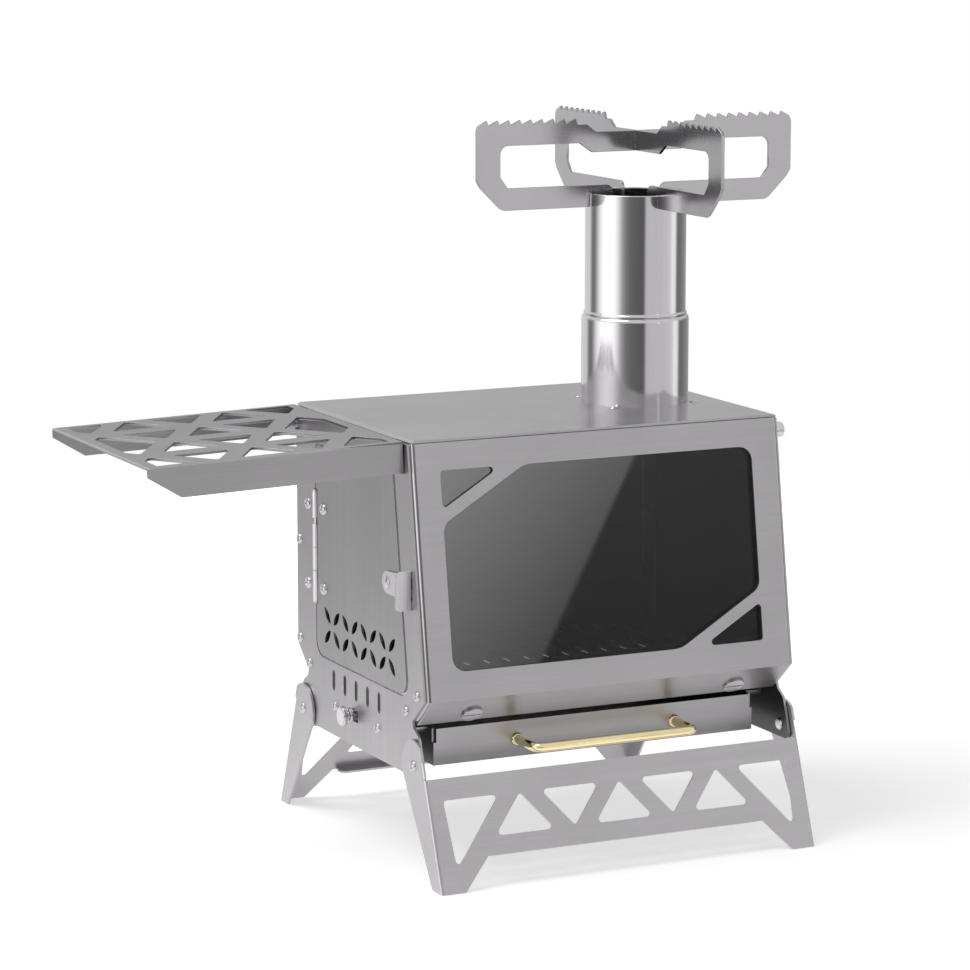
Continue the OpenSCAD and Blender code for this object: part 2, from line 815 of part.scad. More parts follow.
module fire_grate() {
    half = inner_x - grate_side_gap;
    depth = grate_front + grate_back;
    across = floor((2 * half - 2 * grate_edge) / grate_slot_pitch);
    color("dimgray") difference() {
        union() {
            translate([-half, -grate_front, grate_z]) cube([2 * half, depth, grate_t]);
            translate([-half, grate_back - grate_t, grate_z]) cube([2 * half, grate_t, grate_t + grate_rim_h]);
        }
        for (i = [0 : across], row = [-1, 0, 1])
            translate([(i - across / 2) * grate_slot_pitch, (grate_back - grate_front) / 2, 0])
                translate([0, row * (grate_slot_l + grate_slot_w / 2), grate_z - over]) grate_slot();
    }
}

// Slot with round ends along Y
module grate_slot() {
    run = grate_slot_l - 2 * grate_slot_w;
    linear_extrude(grate_t + 2 * over) {
        translate([-grate_slot_w / 2, -run / 2]) square([grate_slot_w, run]);
        for (y = [-run / 2, run / 2]) translate([0, y]) circle(grate_slot_w / 2);
    }
}

// Angle bar under the grate, drawn as the front one at the given distance out, with a tab at each end
module cross_bar(out) {
    half = inner_x - sheet;
    difference() {
        union() {
            translate([-inner_x, -out, bar_web_z]) cube([2 * inner_x, sheet, grate_z - bar_web_z]);
            translate([-half, -out, grate_z - sheet]) cube([2 * half, bar_leg_d, sheet]);
            for (x = [-inner_x, half]) translate([x, -out + sheet - bar_tab_d, grate_z - bar_tab_h])
                cube([sheet, bar_tab_d, bar_tab_h]);
        }
        for (side = [-1, 1]) side_hole([-out - bar_rivet_out, bar_rivet_z], rivet_r + rivet_fit, side);
    }
}

module front_cross_bar() {
    color("gray") cross_bar(front_bar_out);
}

module back_cross_bar() {
    color("gray") mirror([0, 1, 0]) cross_bar(back_bar_out);
}

// Drawer rail on the right: a channel floor, a guide wall and two ears that hang on the cross bars
module drawer_rail() {
    out_x = inner_x - rail_side_gap;
    low = drawer_z + drawer_h - drawer_sheet - lip_gap - rail_t;
    front = -front_bar_out + sheet;
    back = back_bar_out - sheet;
    tab_low = bar_web_z + rail_t / 2;
    tab_top = grate_z - sheet - rail_t;
    translate([out_x - rail_flange_d, front, low]) cube([rail_flange_d, back - front, rail_t]);
    translate([out_x - rail_t, front, low]) cube([rail_t, back - front, rail_web_h]);
    for (y = [front, back - rail_ear_l]) translate([out_x - rail_t, y, low])
        cube([rail_t, rail_ear_l, tab_top - low]);
    for (y = [front, back - rail_t]) translate([out_x - rail_flange_d, y, tab_low])
        cube([rail_flange_d, rail_t, tab_top - tab_low]);
}

module left_drawer_rail() {
    color("gray") mirror([1, 0, 0]) drawer_rail();
}

module right_drawer_rail() {
    color("gray") drawer_rail();
}

// Ring behind the panel that the closed door rests against, open at the hinge
module door_stop() {
    color("gray") difference() {
        along_x(-inner_x, sheet) polygon(door_outline(stop_land));
        along_x(-inner_x - over, sheet + 2 * over) polygon(door_outline(-stop_lap));
        translate([-inner_x - over, door_back - 2 * stop_lap, hinge_low - stop_break])
            cube([sheet + 2 * over, 4 * stop_lap, hinge_len + 2 * stop_break]);
    }
}

hinge_rivet_heights = [for (share = hinge_rivet_end_shares) hinge_low + share * hinge_len];
leaf_start = hinge_r + barrel_room + slack;
leaf_rivet_out = leaf_start + hinge_rivet_in;
door_rivet_out = leaf_start + door_rivet_in;

// Hinge leaf on the +Y side of the barrel, with knuckles numbered from the lowest
module hinge_leaf(knuckles, depth, rivet_out) {
    grip_x = -inner_x;
    difference() {
        union() {
            translate([grip_x, hinge_y + leaf_start, hinge_low]) cube([leaf_t, depth, hinge_len]);
            for (k = knuckles) {
                low = hinge_low + knuckle_start_shares[k] * hinge_len + knuckle_gap / 2;
                height = (knuckle_end_shares[k] - knuckle_start_shares[k]) * hinge_len - knuckle_gap;
                translate([-panel_x, hinge_y, low]) cylinder(r = hinge_r, h = height);
                translate([grip_x + leaf_t - strap_t, hinge_y, low])
                    cube([strap_t, hinge_r + barrel_room / 2, height]);
                translate([grip_x, hinge_y, low]) cube([leaf_t, leaf_start + over, height]);
            }
        }
        translate([-panel_x, hinge_y, hinge_low - over]) cylinder(r = pin_r + run_fit, h = hinge_len + 2 * over);
        for (z = hinge_rivet_heights) translate([grip_x - over, hinge_y + rivet_out, z]) rotate([0, 90, 0])
            cylinder(r = rivet_r + rivet_fit, h = leaf_t + 2 * over);
    }
}

module hinge_frame_leaf() {
    color("silver") hinge_leaf([0, 2], leaf_d, leaf_rivet_out);
}

module hinge_door_leaf() {
    color("silver") translate([0, 2 * hinge_y, 0]) mirror([0, 1, 0])
        hinge_leaf([1, 3], door_leaf_d, door_rivet_out);
}

module hinge_pin() {
    color("gray") translate([-panel_x, hinge_y, hinge_low]) {
        cylinder(r = pin_r, h = hinge_len);
        translate([0, 0, -pin_head_h]) cylinder(r = pin_head_r, h = pin_head_h);
        translate([0, 0, hinge_len]) cylinder(r = pin_head_r, h = pin_head_h);
    }
}

module hinge_frame_rivets() {
    color("lightgray") for (z = hinge_rivet_heights) on_side([hinge_y + leaf_rivet_out, z], -1)
        rivet(sheet + leaf_t, hinge_rivet_r);
}

module hinge_door_rivets() {
    color("lightgray") for (z = hinge_rivet_heights) on_side([hinge_y - door_rivet_out, z], -1)
        rivet(sheet + leaf_t, hinge_rivet_r);
}

// Studs with a neck for the shelf's slots and a long domed head
module shelf_studs() {
    grip = 2 * sheet;
    color("gray") for (p = studs, side = [-1, 1]) on_side(p, side) {
        translate([0, 0, -grip - stud_tail_h]) cylinder(r = stud_neck_r, h = grip + stud_tail_h + stud_neck_l);
        translate([0, 0, -grip - stud_tail_h]) cylinder(r = stud_tail_r, h = stud_tail_h);
        translate([0, 0, stud_neck_l]) cylinder(r = stud_head_r, h = stud_head_h - rivet_head_h);
        translate([0, 0, stud_neck_l + stud_head_h - rivet_head_h]) dome(stud_head_r, rivet_head_h);
    }
}

module panel_rivets() {
    color("lightgray") for (p = sheet_rivets, side = [-1, 1]) on_side(p, side) rivet(2 * sheet);
}

// Shouldered rivets that the damper plate slides on
module damper_guides() {
    color("lightgray") for (p = guides) on_side(p, -1) rivet(sheet + damper_t + 2 * damper_gap);
}

// Pivot screw through a leg frame and a side panel, with its nut inside
module pivot_screw() {
    neck = leg_out_x - panel_x + pivot_washer_gap;
    difference() {
        translate([0, 0, neck]) cylinder(r = pivot_head_r, h = pivot_head_h);
        translate([-pivot_head_r - over, -pivot_slot_w / 2, neck + pivot_head_h / 2])
            cube([2 * (pivot_head_r + over), pivot_slot_w, pivot_head_h]);
    }
    translate([0, 0, -sheet - pivot_nut_h]) cylinder(r = pivot_r, h = sheet + pivot_nut_h + neck);
    translate([0, 0, -sheet - pivot_nut_h]) cylinder(r = pivot_nut_r, h = pivot_nut_h, $fn = 6);
}

module front_pivot_screws() {
    color("lightgray") for (side = [-1, 1]) on_side(pivots[0], side) pivot_screw();
}

module back_pivot_screws() {
    color("lightgray") for (side = [-1, 1]) on_side(pivots[1], side) pivot_screw();
}

// Lens-shaped vent, its length along the local x axis
module vent_hole() {
    r = (vent_l * vent_l + vent_w * vent_w) / (4 * vent_w);
    intersection() {
        translate([0, r - vent_w / 2]) circle(r);
        translate([0, vent_w / 2 - r]) circle(r);
    }
}

module fuel_door() {
    color("silver") difference() {
        along_x(-panel_x, sheet) polygon(door_outline(0, door_front_ease, door_low_ease));
        barrel_notch();
        along_x(-panel_x - over, sheet + 2 * over) for (i = [0 : vent_count - 1], row = [0, 1])
            translate([door_back - vent_first_back - i * vent_pitch, door_low + vent_rise + row * vent_row_gap])
                rotate((i + row) % 2 == 0 ? -45 : 45) vent_hole();
        for (z = hinge_rivet_heights) side_hole([hinge_y - door_rivet_out, z], rivet_r + rivet_fit, -1);
        side_hole([latch_y, latch_z], latch_rivet_r + rivet_fit, -1);
    }
}

module latch_rivet() {
    lift = damper_gap + latch_t + pivot_washer_gap;
    color("lightgray") on_side([latch_y, latch_z], -1) {
        translate([0, 0, lift]) dome(rivet_head_r + rivet_head_h, rivet_head_h);
        translate([0, 0, -sheet - rivet_tail_h]) cylinder(r = latch_rivet_r, h = sheet + rivet_tail_h + lift);
        translate([0, 0, -sheet - rivet_tail_h]) cylinder(r = rivet_tail_r + rivet_head_h, h = rivet_tail_h);
    }
}

// Latch: a flat arm on the door's face, a finger tab bent outward and a nose bent inward
module door_latch() {
    face_x = -panel_x - damper_gap - latch_t;
    tip = latch_tip_y;
    color("silver") difference() {
        union() {
            along_x(face_x, latch_t) {
                translate([latch_y, latch_z]) circle(latch_head_r);
                polygon([
                    [latch_y, latch_z + latch_head_r], [tip + latch_tab_r, latch_tab_high - latch_tab_r],
                    [tip, latch_tab_high - latch_tab_r], [tip, latch_neck_low],
                    [tip + latch_tab_r, latch_neck_low], [latch_y, latch_z - latch_head_r]
                ]);
            }
            along_y(tip, latch_t) {
                polygon(rounded([
                    [face_x + latch_t, latch_tab_low], [face_x + latch_t, latch_tab_high],
                    [face_x + latch_t - latch_tab_reach, latch_tab_high],
                    [face_x + latch_t - latch_tab_reach, latch_tab_low]
                ], [0, 0, latch_tab_r, latch_tab_r]));
                translate([face_x, latch_nose_low])
                    square([latch_t + damper_gap + latch_nose_in, latch_nose_high - latch_nose_low]);
            }
        }
        on_side([latch_y, latch_z], -1) translate([0, 0, -sheet])
            cylinder(r = latch_rivet_r + run_fit, h = sheet + damper_gap + latch_t + over);
    }
}

// Sliding air plate with windows that meet the slots when it is pushed forward
module damper_plate() {
    x0 = -inner_x + damper_gap;
    low_y = slot_mid_y - damper_len / 2;
    color("gray") difference() {
        translate([x0, low_y, damper_low]) cube([damper_t, damper_len, damper_top - damper_low]);
        translate([0, damper_open, 0]) air_slots_between(x0);
        for (p = guides) translate([0, p[0], p[1]]) guide_slot(x0);
        translate([x0 - over, knob_y, guide_z]) rotate([0, 90, 0])
            cylinder(r = knob_tail_r + rivet_fit, h = damper_t + 2 * over);
    }
}

module air_slots_between(x0) {
    margin = (damper_window_w - slot_w) / 2;
    top = min(slot_low + slot_h + margin, damper_top - sheet);
    air_slots(damper_window_w, 0, slot_low - margin, top - slot_low + margin);
}

// Long hole for a guide rivet over the damper's travel
module guide_slot(x0) {
    r = rivet_r + damper_gap;
    low = -damper_shut - slack;
    high = damper_open + slack;
    along_x(x0 - over, damper_t + 2 * over) {
        translate([low, -r]) square([high - low, 2 * r]);
        for (y = [low, high]) translate([y, 0]) circle(r);
    }
}

module damper_knob() {
    depth = sheet + damper_gap;
    color("gray") on_side([knob_y, guide_z], -1) {
        translate([0, 0, -depth]) cylinder(r = knob_stem_r, h = depth + knob_reach);
        translate([0, 0, knob_reach]) cylinder(r = knob_r, h = knob_h / 2);
        translate([0, 0, knob_reach + knob_h / 2]) dome(knob_r, knob_h / 2);
        translate([0, 0, -depth - damper_t - rivet_tail_h]) cylinder(r = knob_tail_r, h = damper_t + rivet_tail_h);
        translate([0, 0, -depth - damper_t - rivet_tail_h]) cylinder(r = rivet_tail_r, h = rivet_tail_h);
    }
}

// Tray with outward lips on its sides and a slit at each front corner
module ash_drawer() {
    half = drawer_w / 2;
    depth = drawer_front + drawer_back;
    top = drawer_z + drawer_h;
    t = drawer_sheet;
    color("silver") difference() {
        union() {
            translate([-half, -drawer_front, drawer_z]) cube([drawer_w, depth, drawer_h]);
            translate([-half - lip_reach, -drawer_front + tray_slit_h, top - t])
                cube([drawer_w + 2 * lip_reach, depth - tray_slit_h, t]);
        }
        translate([-half + t, -drawer_front + t, drawer_z + t]) cube([drawer_w - 2 * t, depth - 2 * t, drawer_h]);
        for (side = [-1, 1]) translate([side * (half - t / 2) - t, -drawer_front - over, top - tray_slit_h])
            cube([2 * t, over + t + tray_slit, tray_slit_h + over]);
        for (x = [-handle_w / 2, handle_w / 2]) translate([x, -drawer_front - over, handle_z]) rotate([-90, 0, 0])
            cylinder(r = handle_screw_r + rivet_fit, h = t + 2 * over);
    }
}

// U-shaped round rod with small feet against the tray
module drawer_handle() {
    half = handle_w / 2;
    run = handle_reach - handle_bend_r;
    r = handle_rod_r;
    color("goldenrod") translate([0, -drawer_front, handle_z]) {
        for (side = [-1, 1]) {
            translate([side * half, 0, 0]) rotate([90, 0, 0]) difference() {
                union() {
                    cylinder(r = r, h = run);
                    cylinder(r = handle_foot_r, h = handle_foot_h);
                }
                translate([0, 0, -over]) cylinder(r = handle_screw_r + rivet_fit, h = over + handle_bend_r);
            }
            translate([side * (half - handle_bend_r), -run, 0]) rotate([0, 0, side > 0 ? -90 : 180])
                rotate_extrude(angle = 90) translate([handle_bend_r, 0]) circle(r);
        }
        translate([-half + handle_bend_r, -handle_reach, 0]) rotate([0, 90, 0])
            cylinder(r = r, h = handle_w - 2 * handle_bend_r);
    }
}

module handle_screws() {
    color("gray") for (x = [-handle_w / 2, handle_w / 2])
        translate([x, -drawer_front + drawer_sheet, handle_z]) rotate([90, 0, 0]) {
            cylinder(r = handle_screw_r, h = drawer_sheet + handle_bend_r - over);
            translate([0, 0, -handle_screw_head_h]) cylinder(r = handle_screw_head_r, h = handle_screw_head_h);
        }
}

// Leg frame in its own plane: x across, z up the leg from the pivot line
leg_foot_z = -leg_top - leg_len;
leg_half = leg_out_x;

// Outline of the truss sheet with its feet
function truss_outline() =
    let (top = -leg_top, base = leg_foot_z, edge = -leg_top - truss_bottom_s, inner = leg_half - foot_w)
    [
        [-leg_half, top], [-leg_half, base - over * 4], [-inner, base - over * 4], [-inner, base], [-inner + foot_inner_run, edge],
        [inner - foot_inner_run, edge], [inner, base], [inner, base - over * 4], [leg_half, base - over * 4], [leg_half, top]
    ];

// Truss cut-outs
module truss_holes() {
    top = -leg_top - truss_band;
    low = -leg_top - truss_low_s;
    for (i = [-1, 0, 1]) translate([i * truss_pitch, 0])
        polygon(rounded([[0, top], [truss_half_base, low], [-truss_half_base, low]], truss_r));
    for (i = [-0.5, 0.5]) translate([i * truss_pitch, 0])
        polygon(rounded([[0, low], [truss_half_base, top], [-truss_half_base, top]], truss_r));
    for (side = [-1, 1]) polygon(rounded([
        [side * side_hole_inner_x, top], [side * side_hole_top_x, top],
        [side * side_hole_tip_x, -leg_top - side_hole_tip_s]
    ], truss_r));
}

// Tangent point on a circle of radius r about the origin from p, on the inner side
function tangent_point(p, r) =
    let (d = norm(p), swing = acos(r / d), base = atan2(p[1], p[0]))
    r * [cos(base + swing), sin(base + swing)];

// Side flange of the front leg in its own plane, as (y, z) from the pivot
module leg_flange() {
    foot_in = [-leg_face + leg_foot_d, leg_foot_z];
    touch = tangent_point(foot_in, leg_head_r);
    circle(leg_head_r);
    polygon([
        [0, 0], touch, foot_in, foot_in + [0, -4 * over], [-leg_face, leg_foot_z - 4 * over], [-leg_face, -leg_top],
        [-sqrt(leg_head_r * leg_head_r - leg_top * leg_top), -leg_top]
    ]);
}

// Leg frame, drawn as the front one
module leg_frame() {
    difference() {
        at_front_pivot() difference() {
            union() {
                along_y(-leg_face, leg_sheet) difference() {
                    polygon(truss_outline());
                    truss_holes();
                }
                for (x = [-leg_half, leg_half - leg_sheet]) along_x(x, leg_sheet) intersection() {
                    leg_flange();
                    translate([-leg_face, -2 * leg_len]) square([2 * leg_len, 3 * leg_len]);
                }
                truss_hem_bar();
            }
            for (side = [-1, 1]) {
                translate([side * (leg_half + over), 0, 0]) rotate([0, -side * 90, 0])
                    cylinder(r = pivot_r + leg_bore_fit, h = leg_sheet + 2 * over);
                leg_edge_cut(side);
            }
        }
        translate([-body_w, -2 * body_w, -body_w]) cube([2 * body_w, 4 * body_w, body_w]);
    }
}

// Rounds the long bend between truss and side flange
module leg_edge_cut(side) {
    length = leg_len + leg_top + leg_head_r;
    mirror([side > 0 ? 0 : 1, 0, 0]) translate([leg_half - bend_r, -leg_face - over, leg_foot_z - leg_head_r])
        difference() {
            cube([bend_r + over, bend_r + over, length]);
            translate([0, bend_r + over, -over]) cylinder(r = bend_r, h = length + 2 * over);
        }
}

// Folded hem along the truss's lower edge
module truss_hem_bar() {
    half = leg_half - foot_w - foot_inner_run - truss_hem_in;
    z = -leg_top - truss_bottom_s;
    translate([0, -leg_face, z]) linear_extrude(leg_sheet) polygon(rounded([
        [-half, 0], [half, 0], [half, truss_hem], [-half, truss_hem]
    ], [0, 0, truss_hem_r, truss_hem_r]));
}

module at_front_pivot() {
    translate([0, -pivot_out, pivot_z]) rotate([-leg_splay, 0, 0]) children();
}

module front_leg_frame() {
    color("silver") leg_frame();
}

module back_leg_frame() {
    color("silver") mirror([0, 1, 0]) leg_frame();
}

// Triangle of the shelf lattice, its point to the back for up = 1
module lattice_cell(up) {
    base = up > 0 ? 0 : lattice_h;
    polygon(rounded([
        [0, lattice_h - base], [-lattice_half_base, base], [lattice_half_base, base]
    ], lattice_r));
}

// Diamond where two triangles of the middle rows meet, from the lower one's point
module lattice_diamond() {
    rise = (lattice_row_pitch + lattice_h) / 2;
    half = lattice_half_base * rise / lattice_h;
    polygon(rounded([[0, 0], [half, rise], [0, 2 * rise], [-half, rise]], lattice_r));
}

// Shelf cut-outs in four rows and five columns, from the outer front corner
module shelf_lattice() {
    for (row = [0 : 3], col = [0 : 4]) {
        edge = (col == 0 || col == 4) && (row == 1 || row == 2);
        up = (row + col) % 2 == 0 ? 1 : -1;
        translate([lattice_first_x + col * lattice_pitch, lattice_start_y + row * lattice_row_pitch])
            if (!edge) lattice_cell(up);
            else if (row == 1) lattice_diamond();
    }
}

// Side shelf, level; x = 0 is the body's side
module level_shelf() {
    width = shelf_front + shelf_back;
    inner = -shelf_gap;
    difference() {
        union() {
            translate([-shelf_reach, -shelf_front, -shelf_t]) linear_extrude(shelf_t) difference() {
                square([shelf_reach + inner, width]);
                intersection() {
                    shelf_lattice();
                    translate([lattice_edge, 0]) square([shelf_reach - 2 * lattice_edge, width]);
                }
            }
            for (y = [-shelf_front, shelf_back - shelf_t]) along_y(y, shelf_t) polygon([
                [-shelf_reach, 0], [inner, 0], [inner, -shelf_flange],
                [-shelf_reach + shelf_cut_run, -shelf_flange], [-shelf_reach, -shelf_flange + shelf_cut_rise]
            ]);
            translate([inner - shelf_t, -shelf_front, -shelf_inner_flange])
                cube([shelf_t, width, shelf_inner_flange]);
        }
        for (p = studs) translate([inner - shelf_t - over, p[0], stud_z - top_z + shelf_drop])
            stud_slot();
    }
}

// Slot open at the bottom, along X, for a stud neck
module stud_slot() {
    r = stud_neck_r + shelf_slot_room;
    rotate([0, 90, 0]) cylinder(r = r, h = shelf_t + 2 * over);
    translate([0, -r, -shelf_inner_flange]) cube([shelf_t + 2 * over, 2 * r, shelf_inner_flange]);
}

module side_shelf() {
    color("silver") translate([-panel_x, 0, top_z - shelf_drop]) rotate([0, -shelf_droop, 0]) level_shelf();
}

module chimney_pipe() {
    color("silver") translate([flue_x, flue_y, 0]) difference() {
        union() {
            translate([0, 0, pipe_low]) cylinder(r = pipe_r, h = pipe_top - pipe_low);
            translate([0, 0, collar_top]) cylinder(r = pipe_r + pipe_bead_r, h = pipe_bead_h);
        }
        translate([0, 0, pipe_low - over]) cylinder(r = pipe_r - pipe_wall, h = pipe_top - pipe_low + 2 * over);
    }
}

// Half outline of a stand plate as (radius, height above the pipe's rim), from the axis round to it
function arm_outline() = concat(
    [[0, hub_h], [hub_r, hub_h], [rim_flat_r[1], rim_flat_h], [rim_flat_r[0], rim_flat_h]],
    [
        for (i = [teeth - 1 : -1 : 0]) each [
            [tip_first_r - i * tooth_pitch - tooth_steep, root_h],
            [tip_first_r - i * tooth_pitch, tip_h]
        ]
    ],
    [
        [arm_r - end_round, root_h], [arm_r, end_top_h], [arm_r, arm_end_h], arm_end_low, arm_heel,
        [arm_heel_in, arm_low_h], [pipe_r + rim_slot_room, arm_low_h], [pipe_r + rim_slot_room, 0],
        [pipe_r - pipe_wall - rim_slot_room, 0], [pipe_r - pipe_wall - rim_slot_room, arm_low_h],
        [arm_in_r, arm_low_h]
    ],
    corner_arc([arm_in_r, arm_low_h], [arm_in_r, eye_cut_h[1]], [eye_cut_r, eye_cut_h[1]], arm_in_round),
    [[eye_cut_r, eye_cut_h[1]], [eye_out_r, eye_cut_h[0]]],
    corner_arc([eye_out_r, eye_cut_h[0]], [eye_out_r, eye_top_h], [eye_step_r[0], eye_top_h], eye_corner_r),
    [[eye_step_r[0], eye_top_h], [eye_step_r[1], eye_hub_h], [0, eye_hub_h]]
);

// Stand plate in the (x, z) plane about the flue axis, slotted at mid height from above or below
module stand_plate(slot_above) {
    half = arm_outline();
    inner = [for (i = [1 : len(half) - 2]) half[i]];
    cross = (hub_h + eye_hub_h) / 2;
    slot_w = stand_t + 2 * slack;
    along_y(-stand_t / 2, stand_t) difference() {
        polygon(concat(inner, reversed(mirrored(inner))));
        translate([-slot_w / 2, slot_above ? cross - slack / 2 : eye_hub_h - over])
            square([slot_w, slot_above ? hub_h - cross + over : cross - eye_hub_h + over + slack / 2]);
    }
}

module stand_plate_lower() {
    color("silver") translate([flue_x, flue_y, pipe_top]) stand_plate(true);
}

module stand_plate_upper() {
    color("silver") translate([flue_x, flue_y, pipe_top]) rotate([0, 0, 90]) stand_plate(false);
}

left_side_panel();
right_side_panel();
front_frame();
window_glass();
glass_retainer();
glass_clips();
coin_screws();
back_panel();
top_plate();
flue_collar();
flue_screws();
fire_grate();
front_cross_bar();
back_cross_bar();
left_drawer_rail();
right_drawer_rail();
door_stop();
hinge_frame_leaf();
hinge_pin();
hinge_frame_rivets();
shelf_studs();
panel_rivets();
damper_guides();
front_pivot_screws();
back_pivot_screws();
fuel_door();
hinge_door_leaf();
hinge_door_rivets();
latch_rivet();
door_latch();
damper_plate();
damper_knob();
ash_drawer();
drawer_handle();
handle_screws();
front_leg_frame();
back_leg_frame();
side_shelf();
chimney_pipe();
stand_plate_lower();
stand_plate_upper();
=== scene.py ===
import math
import bmesh
import bpy
from mathutils import Matrix, Vector


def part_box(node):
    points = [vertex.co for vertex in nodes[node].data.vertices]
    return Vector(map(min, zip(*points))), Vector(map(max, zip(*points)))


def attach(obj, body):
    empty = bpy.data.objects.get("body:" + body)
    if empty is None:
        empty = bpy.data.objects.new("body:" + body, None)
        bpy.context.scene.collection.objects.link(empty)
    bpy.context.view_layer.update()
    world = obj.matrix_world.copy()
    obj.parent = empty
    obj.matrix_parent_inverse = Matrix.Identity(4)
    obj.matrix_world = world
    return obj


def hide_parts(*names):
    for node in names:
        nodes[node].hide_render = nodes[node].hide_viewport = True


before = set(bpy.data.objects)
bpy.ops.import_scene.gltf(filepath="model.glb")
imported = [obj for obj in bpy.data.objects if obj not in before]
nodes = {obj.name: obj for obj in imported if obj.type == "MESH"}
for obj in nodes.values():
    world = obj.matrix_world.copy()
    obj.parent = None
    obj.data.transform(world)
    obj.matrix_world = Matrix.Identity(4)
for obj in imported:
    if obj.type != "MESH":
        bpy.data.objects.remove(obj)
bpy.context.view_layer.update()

# Camera: a long lens a little above the stove and to the left of its window, as a product
# photographer would place it, so that window, fuel door and shelf all show.
camera_spot = Vector((-0.9551, -1.9130, 0.5727))
camera_turn = -0.4473
camera_dip = -0.1705
camera_lens = 136.8
camera_film = 36
camera_reach = (0.1, 50)
camera_data = bpy.data.cameras.new("camera")
camera_data.sensor_width = camera_film
camera_data.lens = camera_lens
camera_data.clip_start, camera_data.clip_end = camera_reach
camera = bpy.data.objects.new("camera", camera_data)
bpy.context.scene.collection.objects.link(camera)
aim = Vector((
    -math.sin(camera_turn) * math.cos(camera_dip),
    math.cos(camera_turn) * math.cos(camera_dip),
    math.sin(camera_dip),
))
camera.location = camera_spot
camera.rotation_mode = "QUATERNION"
camera.rotation_quaternion = aim.to_track_quat("-Z", "Y")
bpy.context.scene.camera = camera
bpy.context.scene.view_settings.view_transform = "Standard"

# Studio: white for the eye, with soft panels of light and grey between them for the steel to
# mirror. Angles run round the stove from the window's side towards its right; spans are of the
# height or the sideways part of a direction.
room_light = 0.36
backdrop_white = 1.0
mirror_panels = [
    (-180, 0.85), (-168, 0.82), (-158, 0.86), (-154.5, 0.86), (-151, 0.57), (-144, 0.26), (-137, 0.22),
    (-130, 0.38), (-119, 1.05), (-104, 1.7), (-80, 1.7), (-68, 1.15), (-58, 0.50), (-49, 0.27), (-38, 0.18),
    (-9, 0.13), (-3, 0.72), (46, 0.76), (58, 0.86), (66, 1.25), (75, 1.1), (82, 0.22), (94, 0.22),
    (118, 0.34), (144, 0.46), (152, 0.52), (180, 0.85),
]
panel_scale = 2.0
panel_span = (-0.24, -0.13)
panel_ends = (0.70, 1.06)
ceiling_span = (0.02, 0.45)
ceiling_light = 0.80
ground_span = (-0.22, -0.36)
ground_across = (-0.7, 0.1)
ground_light = (1.45, 0.62)

world = bpy.data.worlds.new("studio")
bpy.context.scene.world = world
world.use_nodes = True
studio = world.node_tree
studio.nodes.clear()


def node_in(tree, kind, feeds, **settings):
    """Adds a node to a tree; feeds maps input places to numbers or to the outputs that feed them."""
    made = tree.nodes.new(kind)
    for key, value in settings.items():
        setattr(made, key, value)
    for place, feed in feeds.items():
        if isinstance(feed, (int, float, tuple)):
            made.inputs[place].default_value = feed
        else:
            tree.links.new(feed, made.inputs[place])
    return made


def studio_node(kind, feeds, **settings):
    return node_in(studio, kind, feeds, **settings)


def studio_sum(operation, first, second):
    return studio_node("ShaderNodeMath", {0: first, 1: second}, operation=operation).outputs[0]


def studio_mix(share, first, second):
    return studio_node("ShaderNodeMix", {0: share, 2: first, 3: second}, data_type="FLOAT").outputs[0]


def studio_step(value, span, low=0.0, high=1.0):
    feeds = {0: value, 1: span[0], 2: span[1], 3: low, 4: high}
    return studio_node("ShaderNodeMapRange", feeds).outputs[0]


def studio_ramp(value, stops):
    made = studio_node("ShaderNodeValToRGB", {0: value})
    elements = made.color_ramp.elements
    for place, level in stops[1:-1]:
        elements.new(place)
    for element, (place, level) in zip(elements, stops):
        element.position = place
        element.color = (level, level, level, 1)
    return made.outputs[0]


direction = studio_node("ShaderNodeTexCoord", {}).outputs["Generated"]
across, ahead, up = studio_node("ShaderNodeSeparateXYZ", {0: direction}).outputs
heading = studio_sum("ARCTAN2", across, studio_sum("MULTIPLY", ahead, -1.0))
turn = studio_sum("ADD", studio_sum("DIVIDE", heading, 2 * math.pi), 0.5)
stops = [((angle + 180) / 360, level / panel_scale) for angle, level in mirror_panels]
panels = studio_sum("MULTIPLY", studio_ramp(turn, stops), panel_scale)
panels = studio_sum("MULTIPLY", panels, studio_step(up, panel_span, *panel_ends))
above = studio_step(up, ceiling_span)
below = studio_step(up, ground_span)
ground = studio_step(across, ground_across, *ground_light)
seen_by_steel = studio_mix(below, studio_mix(above, panels, ceiling_light), ground)

# Light board beyond the window's right: its slanting edge crosses the glass as a soft diagonal,
# bright on the pane's left and nearly black on its right. Places are across and down the slope.
slope_run = 0.022
slope_rise = 0.145
slope_tilt = math.atan2(slope_run, slope_rise)
slope_top = Vector((0, -0.071, 0.249))
slope_out = Vector((0, -math.cos(slope_tilt), math.sin(slope_tilt)))
slope_down = Vector((0, -math.sin(slope_tilt), -math.cos(slope_tilt)))
glass_depth = 0.0017
diagonal_ends = [(0.0228, 0.0183), (-0.0450, 0.1301)]
diagonal_blur = 0.0008
lit_spot = (-0.1, 0.07)
board_lit = 0.08
board_rise = 9.8
board_spread = 29.0
board_dark = (0.10, 0.22)
board_dark_span = (0.05, 0.10)
board_reach = (6, 3.6)
board_foot = (0.02, 0.045)


def mirrored_in_glass(along, down_slope):
    spot = slope_top - glass_depth * slope_out + Vector((along, 0, 0)) + down_slope * slope_down
    return (spot - camera_spot).normalized().reflect(slope_out)


edge_rays = [mirrored_in_glass(*end) for end in diagonal_ends]
edge_across = edge_rays[0].cross(edge_rays[1]).normalized()
if edge_across.dot(mirrored_in_glass(*lit_spot)) < 0:
    edge_across = -edge_across
board_middle = (edge_rays[0] + edge_rays[1]).normalized()


def studio_dot(vector):
    feeds = {0: direction, 1: tuple(vector)}
    return studio_node("ShaderNodeVectorMath", feeds, operation="DOT_PRODUCT").outputs["Value"]


